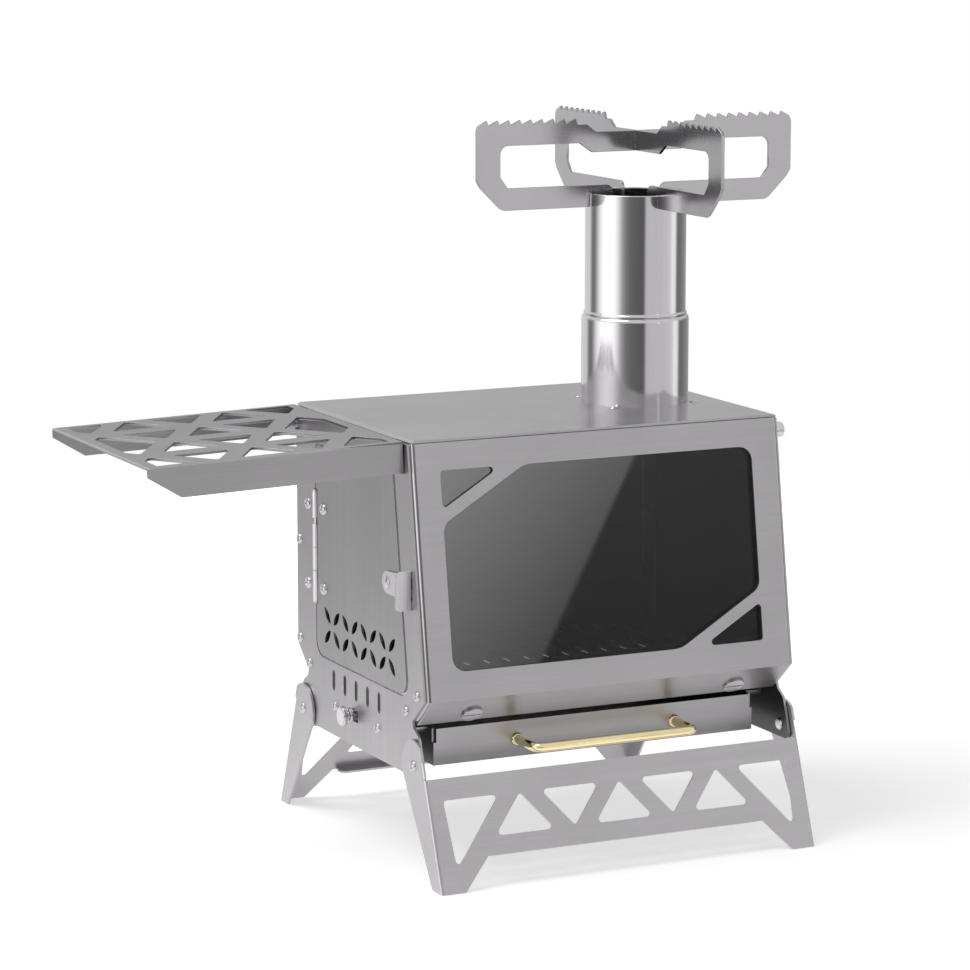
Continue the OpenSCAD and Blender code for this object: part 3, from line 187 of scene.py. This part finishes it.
lit_side = studio_step(studio_dot(edge_across), (-diagonal_blur, diagonal_blur))
rise = board_rise * Vector((0, 0, 1)) + board_spread * edge_across
lit_level = studio_sum("ADD", studio_dot(rise), board_lit)
board = studio_mix(lit_side, studio_step(up, board_dark_span, *board_dark), lit_level)
board_edge = [math.cos(math.radians(angle)) for angle in board_reach]
near_board = studio_step(studio_dot(board_middle), board_edge)
near_board = studio_sum("MULTIPLY", near_board, studio_step(up, board_foot))
seen_by_steel = studio_mix(near_board, seen_by_steel, board)
rays = studio_node("ShaderNodeLightPath", {}).outputs
strength = studio_mix(rays["Is Glossy Ray"], room_light, seen_by_steel)
strength = studio_mix(rays["Is Transmission Ray"], strength, backdrop_white)
strength = studio_mix(rays["Is Camera Ray"], strength, backdrop_white)
backdrop = studio_node("ShaderNodeBackground", {"Color": (1.0, 1.0, 1.0, 1.0), "Strength": strength})
studio_node("ShaderNodeOutputWorld", {0: backdrop.outputs[0]})

# Soft lamp: one wide square panel above the fuel door's side, which draws the gentle shadows
# under the stove and lifts the upward-facing edges.
lamp_spot = Vector((-1.05, 0.15, 1.85))
lamp_aim = Vector((0, 0, 0.1))
lamp_data = bpy.data.lights.new("soft_lamp", "AREA")
lamp_data.shape = "SQUARE"
lamp_data.size = 1.3
lamp_data.energy = 23
lamp = bpy.data.objects.new("soft_lamp", lamp_data)
bpy.context.scene.collection.objects.link(lamp)
lamp.location = lamp_spot
lamp.rotation_mode = "QUATERNION"
lamp.rotation_quaternion = (lamp_aim - lamp_spot).to_track_quat("-Z", "Y")

# Floor: a wide matt white sheet. It fades to the backdrop's white away from the stove, keeps the
# soft shadows between and behind the legs, and glows a little where the steel mirrors it.
floor_radius = 1.3
floor_sides = 96
floor_drop = 0.0004
floor_tone = 0.8
fade_span = (0.35, 1.0)
fade_ends = (0.52, 1.0)
shine_span = (0.12, 0.95)
shine_ends = (0.62, 0.0)
floor_mesh = bpy.data.meshes.new("floor")
shape = bmesh.new()
bmesh.ops.create_circle(shape, cap_ends=True, segments=floor_sides, radius=floor_radius)
shape.to_mesh(floor_mesh)
shape.free()
floor = bpy.data.objects.new("floor", floor_mesh)
bpy.context.scene.collection.objects.link(floor)
floor.location.z = -floor_drop
floor_paint = bpy.data.materials.new("floor_paint")
floor_paint.use_nodes = True
floor_tree = floor_paint.node_tree
floor_tree.nodes.clear()


def floor_node(kind, feeds, **settings):
    return node_in(floor_tree, kind, feeds, **settings).outputs


matt = floor_node("ShaderNodeBsdfDiffuse", {"Color": (floor_tone, floor_tone, floor_tone, 1)})[0]
floor_place = floor_node("ShaderNodeTexCoord", {})["Object"]
away = floor_node("ShaderNodeVectorMath", {0: floor_place}, operation="LENGTH")["Value"]
floor_rays = floor_node("ShaderNodeLightPath", {})


def floor_ring(span, ends):
    """Level that runs from one end to the other over a span of distances from the stove."""
    return floor_node("ShaderNodeMapRange", {0: away, 1: span[0], 2: span[1], 3: ends[0], 4: ends[1]})[0]


mirrored_feeds = {0: floor_rays["Is Glossy Ray"], 1: floor_ring(shine_span, shine_ends)}
mirrored = floor_node("ShaderNodeMath", mirrored_feeds, operation="MULTIPLY")[0]
seen_feeds = {0: floor_rays["Is Camera Ray"], 1: floor_ring(fade_span, fade_ends), 2: mirrored}
seen = floor_node("ShaderNodeMath", seen_feeds, operation="MULTIPLY_ADD")[0]
glow = floor_node("ShaderNodeEmission", {"Strength": seen})[0]
floor_light = floor_node("ShaderNodeAddShader", {0: matt, 1: glow})[0]
floor_node("ShaderNodeOutputMaterial", {0: floor_light})
floor_mesh.materials.append(floor_paint)


# Side panels: laser-cut stainless sheet with a fine upright brushed grain. The left one is cut
# out for the fuel door, the air slots and the damper knob; both carry an ear for each leg pivot.
def brushed_steel(
    name, tone, grain, roughness, bend="x", streak=0.035, cloud=0.05, painted_edge_tone=0.5, edge_gloss=0.16,
    relief=0.05, inward=1.0, outward=1.0, cut_from=None, smear=0.0,
):
    """Brushed stainless: hairlines along grain, cloudy handling marks, and a painted highlight or shade on
    bends and eased edges, by the way they face.

    Faces turned to the stove's middle or away from it can be darkened with a painted shade, upright faces
    above the height cut_from are darkened, and smear spreads light front to back, across the grain."""
    hair_across = 1700.0
    hair_along = 7.0
    hair_rough = 0.55
    speckle = 420.0
    band_share = 0.16
    mark_scale = 11.0
    smear_scale = 46.0
    noise_span = (0.3, 0.7)
    bend_span = (0.01, 0.12)
    side_reach = (0.03, 0.06)
    cut_span = (0.2, 0.6)
    cut_tone = 0.45
    rub_span = (0.7, 1.3)
    gloss_shares = (0.88, 1.12)
    green_share = 0.975
    groove = 0.0002
    made = bpy.data.materials.new(name)
    made.use_nodes = True
    tree = made.node_tree
    steel = tree.nodes["Principled BSDF"]
    steel.inputs["Metallic"].default_value = 1.0

    def add(kind, feeds, **settings):
        return node_in(tree, kind, feeds, **settings).outputs

    def noise(feed, scale, detail, rough=0.5):
        feeds = {"Vector": feed, "Scale": scale, "Detail": detail, "Roughness": rough}
        return add("ShaderNodeTexNoise", feeds)["Fac"]

    def times(first, second):
        return add("ShaderNodeMath", {0: first, 1: second}, operation="MULTIPLY")[0]

    def run(feed, span, ends=(0.0, 1.0)):
        return add("ShaderNodeMapRange", {0: feed, 1: span[0], 2: span[1], 3: ends[0], 4: ends[1]})[0]

    def vary(feed, spread):
        return run(feed, noise_span, (1 - spread, 1 + spread))

    stretch = {
        "x": (hair_along, hair_across, hair_across),
        "y": (hair_across, hair_along, hair_across),
        "z": (hair_across, hair_across, hair_along),
        "round": (speckle, speckle, speckle),
    }[grain]
    place = add("ShaderNodeTexCoord", {})
    spot = add("ShaderNodeSeparateXYZ", {0: place["Object"]})
    turned_to = add("ShaderNodeSeparateXYZ", {0: place["Normal"]})
    laid = add("ShaderNodeMapping", {"Vector": place["Object"], "Scale": stretch})[0]
    wide = add("ShaderNodeMapping", {"Vector": laid, "Scale": (band_share, band_share, band_share)})[0]
    hairs = noise(laid, scale=1.0, detail=2.0, rough=hair_rough)
    bands = noise(wide, scale=1.0, detail=1.0)
    marks = noise(place["Object"], mark_scale, detail=4.0)
    smears = noise(place["Object"], smear_scale, detail=3.0)
    worn = times(times(vary(hairs, streak), vary(bands, streak / 2)), vary(marks, cloud))
    # Painted highlight or shade on bends and eased edges: faces leaning between the bend axis and square to
    # it take the edge tone in place of the plain tone.
    facing = turned_to["xyz".index(bend)]
    square = times(facing, facing)
    rest = add("ShaderNodeMath", {0: 1.0, 1: square}, operation="SUBTRACT")[0]
    painted_bend_light = run(times(square, rest), bend_span)
    shade_feeds = {0: painted_bend_light, 2: times(worn, tone), 3: times(worn, painted_edge_tone)}
    shade = add("ShaderNodeMix", shade_feeds, data_type="FLOAT")[0]
    # Painted shade: side faces turned towards the stove's middle, or away from it, are darkened.
    if inward < 1 or outward < 1:
        side_on = times(turned_to[0], spot[0])
        painted_inner_shade = run(side_on, (-side_reach[1], -side_reach[0]), (inward, 1.0))
        painted_outer_shade = run(side_on, side_reach, (1.0, outward))
        shade = times(shade, times(painted_inner_shade, painted_outer_shade))
    if cut_from is not None:
        upright = add("ShaderNodeMath", {0: turned_to[2]}, operation="ABSOLUTE")[0]
        high = add("ShaderNodeMath", {0: spot[2], 1: cut_from}, operation="GREATER_THAN")[0]
        cut = times(run(upright, cut_span, (1.0, 0.0)), high)
        shade = times(shade, run(cut, (0.0, 1.0), (1.0, cut_tone)))
    paint = add("ShaderNodeCombineColor", {0: shade, 1: times(shade, green_share), 2: shade})[0]
    tree.links.new(paint, steel.inputs["Base Color"])
    rub = add("ShaderNodeMath", {0: smears, 1: hairs}, operation="ADD")[0]
    polish = run(rub, rub_span, (roughness * gloss_shares[0], roughness * gloss_shares[1]))
    gloss = add("ShaderNodeMix", {0: painted_bend_light, 2: polish, 3: edge_gloss}, data_type="FLOAT")[0]
    tree.links.new(gloss, steel.inputs["Roughness"])
    scratch = add("ShaderNodeBump", {"Strength": relief, "Distance": groove, "Height": hairs})[0]
    tree.links.new(scratch, steel.inputs["Normal"])
    if smear:
        steel.inputs["Anisotropic"].default_value = smear
        tree.links.new(add("ShaderNodeCombineXYZ", {1: 1.0})[0], steel.inputs["Tangent"])
    return made


def dress(name, finish, edge=0.0003):
    """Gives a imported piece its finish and, unless edge is 0, a small broken edge."""
    same_spot = 0.00001
    flat_limit = math.radians(0.5)
    edge_limit = math.radians(40)
    piece = nodes[name]
    piece.data.materials.clear()
    piece.data.materials.append(finish)
    if edge:
        weld = piece.modifiers.new("weld", "WELD")
        weld.merge_threshold = same_spot
        flat = piece.modifiers.new("flat", "DECIMATE")
        flat.decimate_type = "DISSOLVE"
        flat.angle_limit = flat_limit
        ease = piece.modifiers.new("ease", "BEVEL")
        ease.width = edge
        ease.segments = 2
        ease.limit_method = "ANGLE"
        ease.angle_limit = edge_limit
        level = piece.modifiers.new("level", "WEIGHTED_NORMAL")
        level.weight = 100
    return piece


panel_out = 0.1185
# Their inner faces are darkened by a painted shade.
side_steel = brushed_steel("side_steel", 0.445, "z", 0.34, inward=0.25)
for panel in ("left_side_panel", "right_side_panel"):
    dress(panel, side_steel)

# Front frame: one sheet bent at the knee and round both sides, brushed across, with the window
# and its two corner triangles cut out between slanting bridges.
# Its bends and eased edges carry a slightly darker painted shade.
front_steel = brushed_steel("front_steel", 0.45, "x", 0.36, painted_edge_tone=0.42, edge_gloss=0.12)
dress("front_frame", front_steel)

# Window: a dark tinted heat-proof pane with polished faces, clamped behind the front frame by a
# bent strip below and two small clips above.
pane_ior = 1.75
smoke_clear = (0.24, 0.24, 0.25, 1)
smoke_deep = (0.19, 0.19, 0.20, 1)
smoke_scale = 9.0
wiped_roughness = 0.012
pane_glass = bpy.data.materials.new("pane_glass")
pane_glass.use_nodes = True
pane_tree = pane_glass.node_tree
pane = pane_tree.nodes["Principled BSDF"]
pane.inputs["Transmission Weight"].default_value = 1.0
pane.inputs["IOR"].default_value = pane_ior
pane_place = node_in(pane_tree, "ShaderNodeTexCoord", {}).outputs["Object"]
smoke_feeds = {"Vector": pane_place, "Scale": smoke_scale, "Detail": 3.0}
smoke = node_in(pane_tree, "ShaderNodeTexNoise", smoke_feeds).outputs["Fac"]
tint_feeds = {0: smoke, 6: smoke_clear, 7: smoke_deep}
smoke_tint = node_in(pane_tree, "ShaderNodeMix", tint_feeds, data_type="RGBA").outputs[2]
wiped = node_in(pane_tree, "ShaderNodeMapRange", {0: smoke, 3: 0.0, 4: wiped_roughness}).outputs[0]
pane_tree.links.new(smoke_tint, pane.inputs["Base Color"])
pane_tree.links.new(wiped, pane.inputs["Roughness"])
dress("window_glass", pane_glass, 0)
inner_steel = brushed_steel("inner_steel", 0.16, "x", 0.5, painted_edge_tone=0.25, edge_gloss=0.35)
dress("glass_retainer", inner_steel)
dress("glass_clips", inner_steel)

# Lip screws: two large slotted screws with flat satin heads, through the lower lip of the front
# frame into nuts behind the pane's retainer.
screw_steel = brushed_steel("screw_steel", 0.44, "x", 0.28, bend="y", streak=0.02)
dress("coin_screws", screw_steel)

# Back panel: plain bent sheet like the front frame, brushed across and riveted inside the side
# panels.
back_steel = brushed_steel("back_steel", 0.47, "x", 0.38)
dress("back_panel", back_steel)

# Top plate: flat sheet with bent side flanges between the side panels, brushed across so that it
# mirrors the flue as upright streaks, bored for the flue.
top_steel = brushed_steel("top_steel", 0.48, "x", 0.24, smear=0.85)
dress("top_plate", top_steel)


# Flue collar: a polished tube that stands through the top plate on a flange, with its rim turned
# in round the chimney pipe.
def turned(profile, places, turns):
    """Revolves a (radius, height) profile about the z axis of each place, with a ring by each corner."""
    support = 0.0003
    long_run = 8 * support
    held = [profile[0]]
    for (r0, h0), (r1, h1) in zip(profile, profile[1:]):
        length = math.hypot(r1 - r0, h1 - h0)
        if length > long_run:
            share = support / length
            held.append((r0 + share * (r1 - r0), h0 + share * (h1 - h0)))
            held.append((r1 - share * (r1 - r0), h1 - share * (h1 - h0)))
        held.append((r1, h1))
    angles = [2 * math.pi * k / turns for k in range(turns)]
    shape = bmesh.new()
    for spot in places:
        rings = []
        for radius, height in held:
            ring = [Vector((radius * math.cos(a), radius * math.sin(a), height)) for a in angles]
            rings.append([shape.verts.new(spot @ point) for point in (ring if radius else ring[:1])])
        for lower, upper in zip(rings, rings[1:]):
            for k in range(turns):
                corners = (
                    lower[k % len(lower)], lower[(k + 1) % len(lower)],
                    upper[(k + 1) % len(upper)], upper[k % len(upper)],
                )
                corners = list(dict.fromkeys(corners))
                if len(corners) > 2:
                    shape.faces.new(corners)
    return shape


def add_piece(name, shape, finish, body, replaced):
    """Turns a built shape into a smooth-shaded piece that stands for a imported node."""
    same_spot = 0.000002
    crease = math.radians(38)
    bmesh.ops.remove_doubles(shape, verts=shape.verts, dist=same_spot)
    bmesh.ops.recalc_face_normals(shape, faces=shape.faces)
    for face in shape.faces:
        face.smooth = True
    for edge in shape.edges:
        edge.smooth = edge.calc_face_angle(0) < crease
    mesh = bpy.data.meshes.new(name)
    shape.to_mesh(mesh)
    shape.free()
    mesh.materials.append(finish)
    piece = bpy.data.objects.new(name, mesh)
    bpy.context.scene.collection.objects.link(piece)
    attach(piece, body)
    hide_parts(replaced)


def arc(middle, radius, start, end, steps=6):
    """Points of an arc in (radius, height), angles in degrees."""
    turns = [math.radians(start + (end - start) * k / steps) for k in range(steps + 1)]
    return [(middle[0] + radius * math.cos(a), middle[1] + radius * math.sin(a)) for a in turns]


flue_axis = Matrix.Translation((0.0686, 0.0143, 0))
flue_turns = 128
collar_bore = 0.0303
collar_out = 0.032
collar_low = 0.246
collar_top = 0.3015
collar_flange_r = 0.042
collar_flange_t = 0.0015
collar_flange_top = collar_low + collar_flange_t
shoulder_r = 0.0030
shoulder_end = 64
shoulder = (collar_out - shoulder_r, collar_top - shoulder_r)
collar_profile = [(collar_bore, collar_low), (collar_flange_r, collar_low)]
collar_profile += [(collar_flange_r, collar_flange_top), (collar_out, collar_flange_top)]
collar_profile += arc(shoulder, shoulder_r, start=0, end=shoulder_end)
collar_profile += [(collar_bore, collar_top), (collar_bore, collar_low)]
collar_tube = turned(collar_profile, [flue_axis], flue_turns)
# Its shoulder, bead and rim carry a slightly brighter painted highlight.
pipe_steel = brushed_steel(
    "pipe_steel", 0.62, "z", 0.11, bend="z", streak=0.02, cloud=0.02, painted_edge_tone=0.66, edge_gloss=0.12,
    relief=0.02,
)
add_piece("flue_collar_tube", collar_tube, pipe_steel, "body", "flue_collar")

# Collar screws: four small domed screws round the collar that clamp its flange under the top
# plate.
dress("flue_screws", screw_steel, 0.0002)

# Firebox floor: the slotted grate plate, its two cross bars and the drawer's rails, bent sheet
# in a dark tone. The door's stop ring, behind the gap round the door, is pale and matt.
for part in ("fire_grate", "front_cross_bar", "back_cross_bar", "left_drawer_rail", "right_drawer_rail"):
    dress(part, inner_steel, 0.0002)
stop_steel = brushed_steel("stop_steel", 0.92, "round", 0.6, painted_edge_tone=0.92, edge_gloss=0.5)
dress("door_stop", stop_steel, 0.0002)

# Body rivets: bright pop rivets with a low domed flange and the hollow of the pulled mandrel,
# through side panel and flange, five on each side.
rivet_head_shares = [
    (0, 0.60), (0.20, 0.60), (0.24, 0.30), (0.36, 0.30), (0.42, 0.86), (0.50, 1), (0.62, 0.97), (0.78, 0.80),
    (0.91, 0.52), (0.98, 0.22), (1, 0),
]
tail_wall_share = 0.6
tail_end_share = 0.8
rivet_turns = 32


def pop_rivet(head_r, head_h, shank_r, grip, tail_r, tail_h):
    """Profile of a pop rivet from the middle of its head to the middle of its tail."""
    head = [(out * head_r, high * head_h) for out, high in rivet_head_shares]
    shank = [(shank_r, 0), (shank_r, -grip), (tail_r, -grip), (tail_r, -grip - tail_wall_share * tail_h)]
    return head + shank + [(tail_end_share * tail_r, -grip - tail_h), (0, -grip - tail_h)]


def on_side(side, along, height, out=panel_out):
    """Place on a side panel with its z axis pointing outward."""
    return Matrix.Translation((side * out, along, height)) @ Matrix.Rotation(side * math.pi / 2, 4, "Y")


def add_rivets(name, profile, places, body, replaced):
    """Turns one profile at every place and adds the set as one bright piece."""
    add_piece(name, turned(profile, places, rivet_turns), rivet_steel, body, replaced)


rivet_steel = brushed_steel("rivet_steel", 0.72, "round", 0.14, streak=0.02, painted_edge_tone=0.56, edge_gloss=0.12)
body_rivets = [(-0.081, 0.1057), (0.0868, 0.1074), (0.0868, 0.1675), (-0.06595, 0.0943), (0.07305, 0.0943)]
rivet_places = [on_side(side, along, height) for along, height in body_rivets for side in (-1, 1)]
body_rivet = pop_rivet(
    head_r=0.0032, head_h=0.0014, shank_r=0.0016, grip=0.0030, tail_r=0.0026, tail_h=0.0007,
)
add_rivets("body_pop_rivets", body_rivet, rivet_places, "body", "panel_rivets")

# Damper guides: the same pop rivets, one at each end of the sliding plate, which runs on their
# shanks behind the left panel.
guide_height = 0.076
guide_ends = (-0.0266, 0.0348)
guide_rivet = pop_rivet(
    head_r=0.0032, head_h=0.0014, shank_r=0.0016, grip=0.0029, tail_r=0.0026, tail_h=0.0007,
)
guide_places = [on_side(-1, along, guide_height) for along in guide_ends]
add_rivets("damper_guide_rivets", guide_rivet, guide_places, "body", "damper_guides")

# Hinge on the body: a satin leaf with rolled knuckles behind the panel, the pin, and its two
# rivets.
hinge_steel = brushed_steel("hinge_steel", 0.85, "z", 0.30, bend="z", streak=0.02, edge_gloss=0.3)
dress("hinge_frame_leaf", hinge_steel, 0.0001)
dress("hinge_pin", hinge_steel, 0.0001)
hinge_rivet = pop_rivet(
    head_r=0.0037, head_h=0.0018, shank_r=0.0016, grip=0.0025, tail_r=0.0026, tail_h=0.0007,
)
hinge_heights = (0.1434, 0.1912)


def hinge_places(packed_box):
    """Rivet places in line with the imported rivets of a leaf."""
    low, high = packed_box
    return [on_side(-1, (low.y + high.y) / 2, height) for height in hinge_heights]


frame_places = hinge_places(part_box("hinge_frame_rivets"))
add_rivets("hinge_frame_pop_rivets", hinge_rivet, frame_places, "body", "hinge_frame_rivets")

# Shelf studs: headed pins with a neck for the shelf's open slots. The left pair carries the shelf,
# the right pair is bare.
dress("shelf_studs", rivet_steel, 0.0004)

# Leg pivots: a low domed head with a small hollow outside each leg and a nut inside the body.
leg_out = 0.1204
pivot_height = 0.0656
pivot_profile = pop_rivet(
    head_r=0.0034, head_h=0.0013, shank_r=0.0020, grip=0.0030, tail_r=0.0036, tail_h=0.0016,
)
for part, along in (("front_pivot_screws", -0.0795), ("back_pivot_screws", 0.0795)):
    pivot_places = [on_side(side, along, pivot_height, leg_out) for side in (-1, 1)]
    add_rivets(part + "_turned", pivot_profile, pivot_places, "body", part)

# Fuel door: flat sheet with two rows of lens-shaped vents, brushed upright like the panel round
# it, with a painted highlight that makes its eased edges a little brighter.
door_steel = brushed_steel("door_steel", 0.39, "z", 0.37)
dress("fuel_door", door_steel, 0.0004)

# Hinge on the door: the matching leaf with its own knuckles, and two pop rivets.
dress("hinge_door_leaf", hinge_steel, 0.0001)
door_places = hinge_places(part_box("hinge_door_rivets"))
add_rivets("hinge_door_pop_rivets", hinge_rivet, door_places, "door", "hinge_door_rivets")

# Door latch: a small plate that turns on one rivet, its end bent out as a thumb paddle in front
# of the door's edge.
latch_steel = brushed_steel("latch_steel", 0.70, "z", 0.42)
dress("door_latch", latch_steel)
dress("latch_rivet", rivet_steel)

# Air damper: a slotted plate that slides behind the air slots, moved by a turned knob whose neck
# passes through the panel.
dress("damper_plate", brushed_steel("damper_steel", 0.42, "y", 0.40), 0.0001)
knob_low, knob_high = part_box("damper_knob")
knob_places = [on_side(-1, (knob_low.y + knob_high.y) / 2, (knob_low.z + knob_high.z) / 2)]
knob_reach = -knob_low.x - panel_out
knob_depth = -knob_high.x - panel_out
knob_turns = 48
disc_r = 0.0058
disc_face_r = 0.0046
disc_edge_r = 0.0010
disc_back_r = 0.0054
disc_wall = 0.0024
disc_t = 0.0030
neck_r = 0.0023
neck_top = 0.0030
neck_foot = 0.0010
ring_r = 0.0043
ring_edge = 0.0003
ring_heights = (0.0028, 0.0022, 0.0012, 0.0006)
ring_foot = 0.0005
pin_r = 0.0015
knob_profile = [(0, knob_reach), (disc_face_r, knob_reach)]
disc_edge = (disc_r - disc_edge_r, knob_reach - disc_edge_r)
knob_profile += arc(disc_edge, disc_edge_r, start=80, end=0, steps=5)
knob_profile += [(disc_r, knob_reach - disc_wall), (disc_back_r, knob_reach - disc_t)]
knob_profile += [(neck_r, knob_reach - disc_t), (neck_r, neck_top)]
knob_profile += [(ring_r - ring_edge, ring_heights[0]), (ring_r, ring_heights[1])]
knob_profile += [(ring_r, ring_heights[2]), (ring_r - ring_edge, ring_heights[3]), (neck_r, ring_foot)]
knob_profile += [(neck_r, -neck_foot), (pin_r, -neck_foot), (pin_r, knob_depth), (0, knob_depth)]
knob_turned = turned(knob_profile, knob_places, knob_turns)
add_piece("damper_knob_turned", knob_turned, rivet_steel, "damper", "damper_knob")

# Ash drawer: a folded tray with outward lips on its sides, brushed across, under the front
# frame's lip.
# Its side walls, inner and outer, are darkened by a painted shade.
drawer_steel = brushed_steel("drawer_steel", 0.41, "x", 0.36, inward=0.3, outward=0.15)
dress("ash_drawer", drawer_steel)

# Drawer handle: a polished bent brass rod with a turned foot at each end, patchily tarnished and
# held by two screws from inside the tray.
rod_r = 0.0027
rod_bend = 0.005
rod_sides = 24
bend_steps = 6
post = 0.051
drawer_face = -0.070
foot_profile = [
    (rod_r, 0.0026), (0.0031, 0.0024), (0.0038, 0.0014), (0.0040, 0.0006), (0.0040, 0.0), (0.0, 0.0),
]
brass_dull = (0.86, 0.72, 0.40, 1)
brass_bright = (0.94, 0.83, 0.54, 1)
brass_gloss = (0.10, 0.20)
tarnish_scale = 60.0
handle_low, handle_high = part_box("drawer_handle")
rod_front = handle_low.y + rod_r
rod_back = handle_high.y
rod_height = (handle_low.z + handle_high.z) / 2
corner = [math.radians(90 * k / bend_steps) for k in range(bend_steps + 1)]
rod_path = [(-post, rod_back)]
rod_path += [(-post + rod_bend * (1 - math.cos(a)), rod_front + rod_bend * (1 - math.sin(a))) for a in corner]
rod_path += [(-x, y) for x, y in reversed(rod_path)]
shape = bmesh.new()
rings = []
for k, (x, y) in enumerate(rod_path):
    before = rod_path[max(k - 1, 0)]
    after = rod_path[min(k + 1, len(rod_path) - 1)]
    onward = Vector((after[0] - before[0], after[1] - before[1], 0)).normalized()
    sideways = Vector((-onward.y, onward.x, 0))
    ring = []
    for step in range(rod_sides):
        a = 2 * math.pi * step / rod_sides
        around = math.cos(a) * sideways + math.sin(a) * Vector((0, 0, 1))
        ring.append(shape.verts.new(Vector((x, y, rod_height)) + rod_r * around))
    rings.append(ring)
for first, second in zip(rings, rings[1:]):
    for k in range(rod_sides):
        beside = (k + 1) % rod_sides
        shape.faces.new((first[k], first[beside], second[beside], second[k]))
shape.faces.new(rings[0])
shape.faces.new(list(reversed(rings[-1])))
toward_front = Matrix.Rotation(math.pi / 2, 4, "X")
foot_places = [Matrix.Translation((x, drawer_face, rod_height)) @ toward_front for x in (-post, post)]
foot = turned(foot_profile, foot_places, rivet_turns)
foot_mesh = bpy.data.meshes.new("foot")
foot.to_mesh(foot_mesh)
foot.free()
shape.from_mesh(foot_mesh)
bpy.data.meshes.remove(foot_mesh)
brass = bpy.data.materials.new("brass")
brass.use_nodes = True
brass_tree = brass.node_tree
gold = brass_tree.nodes["Principled BSDF"]
gold.inputs["Metallic"].default_value = 1.0
brass_place = node_in(brass_tree, "ShaderNodeTexCoord", {}).outputs["Object"]
tarnish_feeds = {"Vector": brass_place, "Scale": tarnish_scale, "Detail": 4.0}
tarnish = node_in(brass_tree, "ShaderNodeTexNoise", tarnish_feeds).outputs["Fac"]
gold_feeds = {0: tarnish, 6: brass_dull, 7: brass_bright}
gold_tint = node_in(brass_tree, "ShaderNodeMix", gold_feeds, data_type="RGBA").outputs[2]
gloss_feeds = {0: tarnish, 3: brass_gloss[0], 4: brass_gloss[1]}
gold_gloss = node_in(brass_tree, "ShaderNodeMapRange", gloss_feeds).outputs[0]
brass_tree.links.new(gold_tint, gold.inputs["Base Color"])
brass_tree.links.new(gold_gloss, gold.inputs["Roughness"])
add_piece("drawer_handle_rod", shape, brass, "drawer", "drawer_handle")
dress("handle_screws", screw_steel, 0.0001)

# Leg frames: each pair of legs is one sheet cut as an open truss and bent round both sides; the
# grain runs across.
leg_steel = brushed_steel("leg_steel", 0.50, "x", 0.36)
for part in ("front_leg_frame", "back_leg_frame"):
    dress(part, leg_steel)

# Side shelf: a flanged sheet with a lattice of triangles, hooked over the two left studs. Its
# long folds are rounded. Its upright faces are darker within a small depth of its highest point,
# which on the drooping sheet is the third next to the body.
fold_r = 0.0011
fold_segments = 4
fold_room = 0.0003
fold_place = 2
flange_depth = 0.012
dark_depth = 0.0014
shelf_low, shelf_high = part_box("side_shelf")
shelf_steel = brushed_steel(
    "shelf_steel", 0.385, "x", 0.34, bend="z", cut_from=shelf_high.z - dark_depth, smear=0.8,
)
shelf = dress("side_shelf", shelf_steel)
folds = shelf.vertex_groups.new(name="folds")
on_fold = []
for spot in shelf.data.vertices:
    outer = min(spot.co.y - shelf_low.y, shelf_high.y - spot.co.y) < fold_room
    if outer and spot.co.z > shelf_low.z + flange_depth:
        on_fold.append(spot.index)
folds.add(on_fold, 1.0, "REPLACE")
fold = shelf.modifiers.new("fold", "BEVEL")
fold.width = fold_r
fold.segments = fold_segments
fold.limit_method = "VGROUP"
fold.vertex_group = "folds"
shelf.modifiers.move(len(shelf.modifiers) - 1, fold_place)

# Chimney pipe: a short polished tube with a rolled bead that rests on the collar's rim.
pipe_in = 0.029
pipe_out = 0.030
pipe_low = 0.281
pipe_top = 0.3736
bead_low = collar_top
bead_steps = [(0.0005, 0.0002), (0.0008, 0.0005), (0.0008, 0.0009), (0.0005, 0.0013), (0.0002, 0.0016)]
bead_top = bead_low + 0.0022
bead_inside = [(0.0005, bead_low + 0.0010), (0, bead_low - 0.0002)]
rim_r = 0.0005
pipe_profile = [(pipe_in, pipe_low), (pipe_out, pipe_low), (pipe_out, bead_low)]
pipe_profile += [(pipe_out + out, bead_low + high) for out, high in bead_steps]
pipe_profile += [(pipe_out, bead_top)]
pipe_profile += arc((pipe_out - rim_r, pipe_top - rim_r), rim_r, start=0, end=180, steps=8)
pipe_profile += [(pipe_in, bead_top)]
pipe_profile += [(pipe_in + out, height) for out, height in bead_inside]
pipe_profile += [(pipe_in, pipe_low)]
chimney_tube = turned(pipe_profile, [flue_axis], flue_turns)
add_piece("chimney_tube", chimney_tube, pipe_steel, "chimney", "chimney_pipe")

# Pot stand: two saw-toothed plates slotted across each other and over the pipe's rim, smooth
# rolled sheet, glossier along their eased edges, where a painted shade makes them a little darker.
for part, grain in (("stand_plate_lower", "x"), ("stand_plate_upper", "y")):
    stand_steel = brushed_steel(
        part + "_steel", 0.56, grain, 0.18, bend="z", streak=0.015, painted_edge_tone=0.36, relief=0.015,
    )
    dress(part, stand_steel)
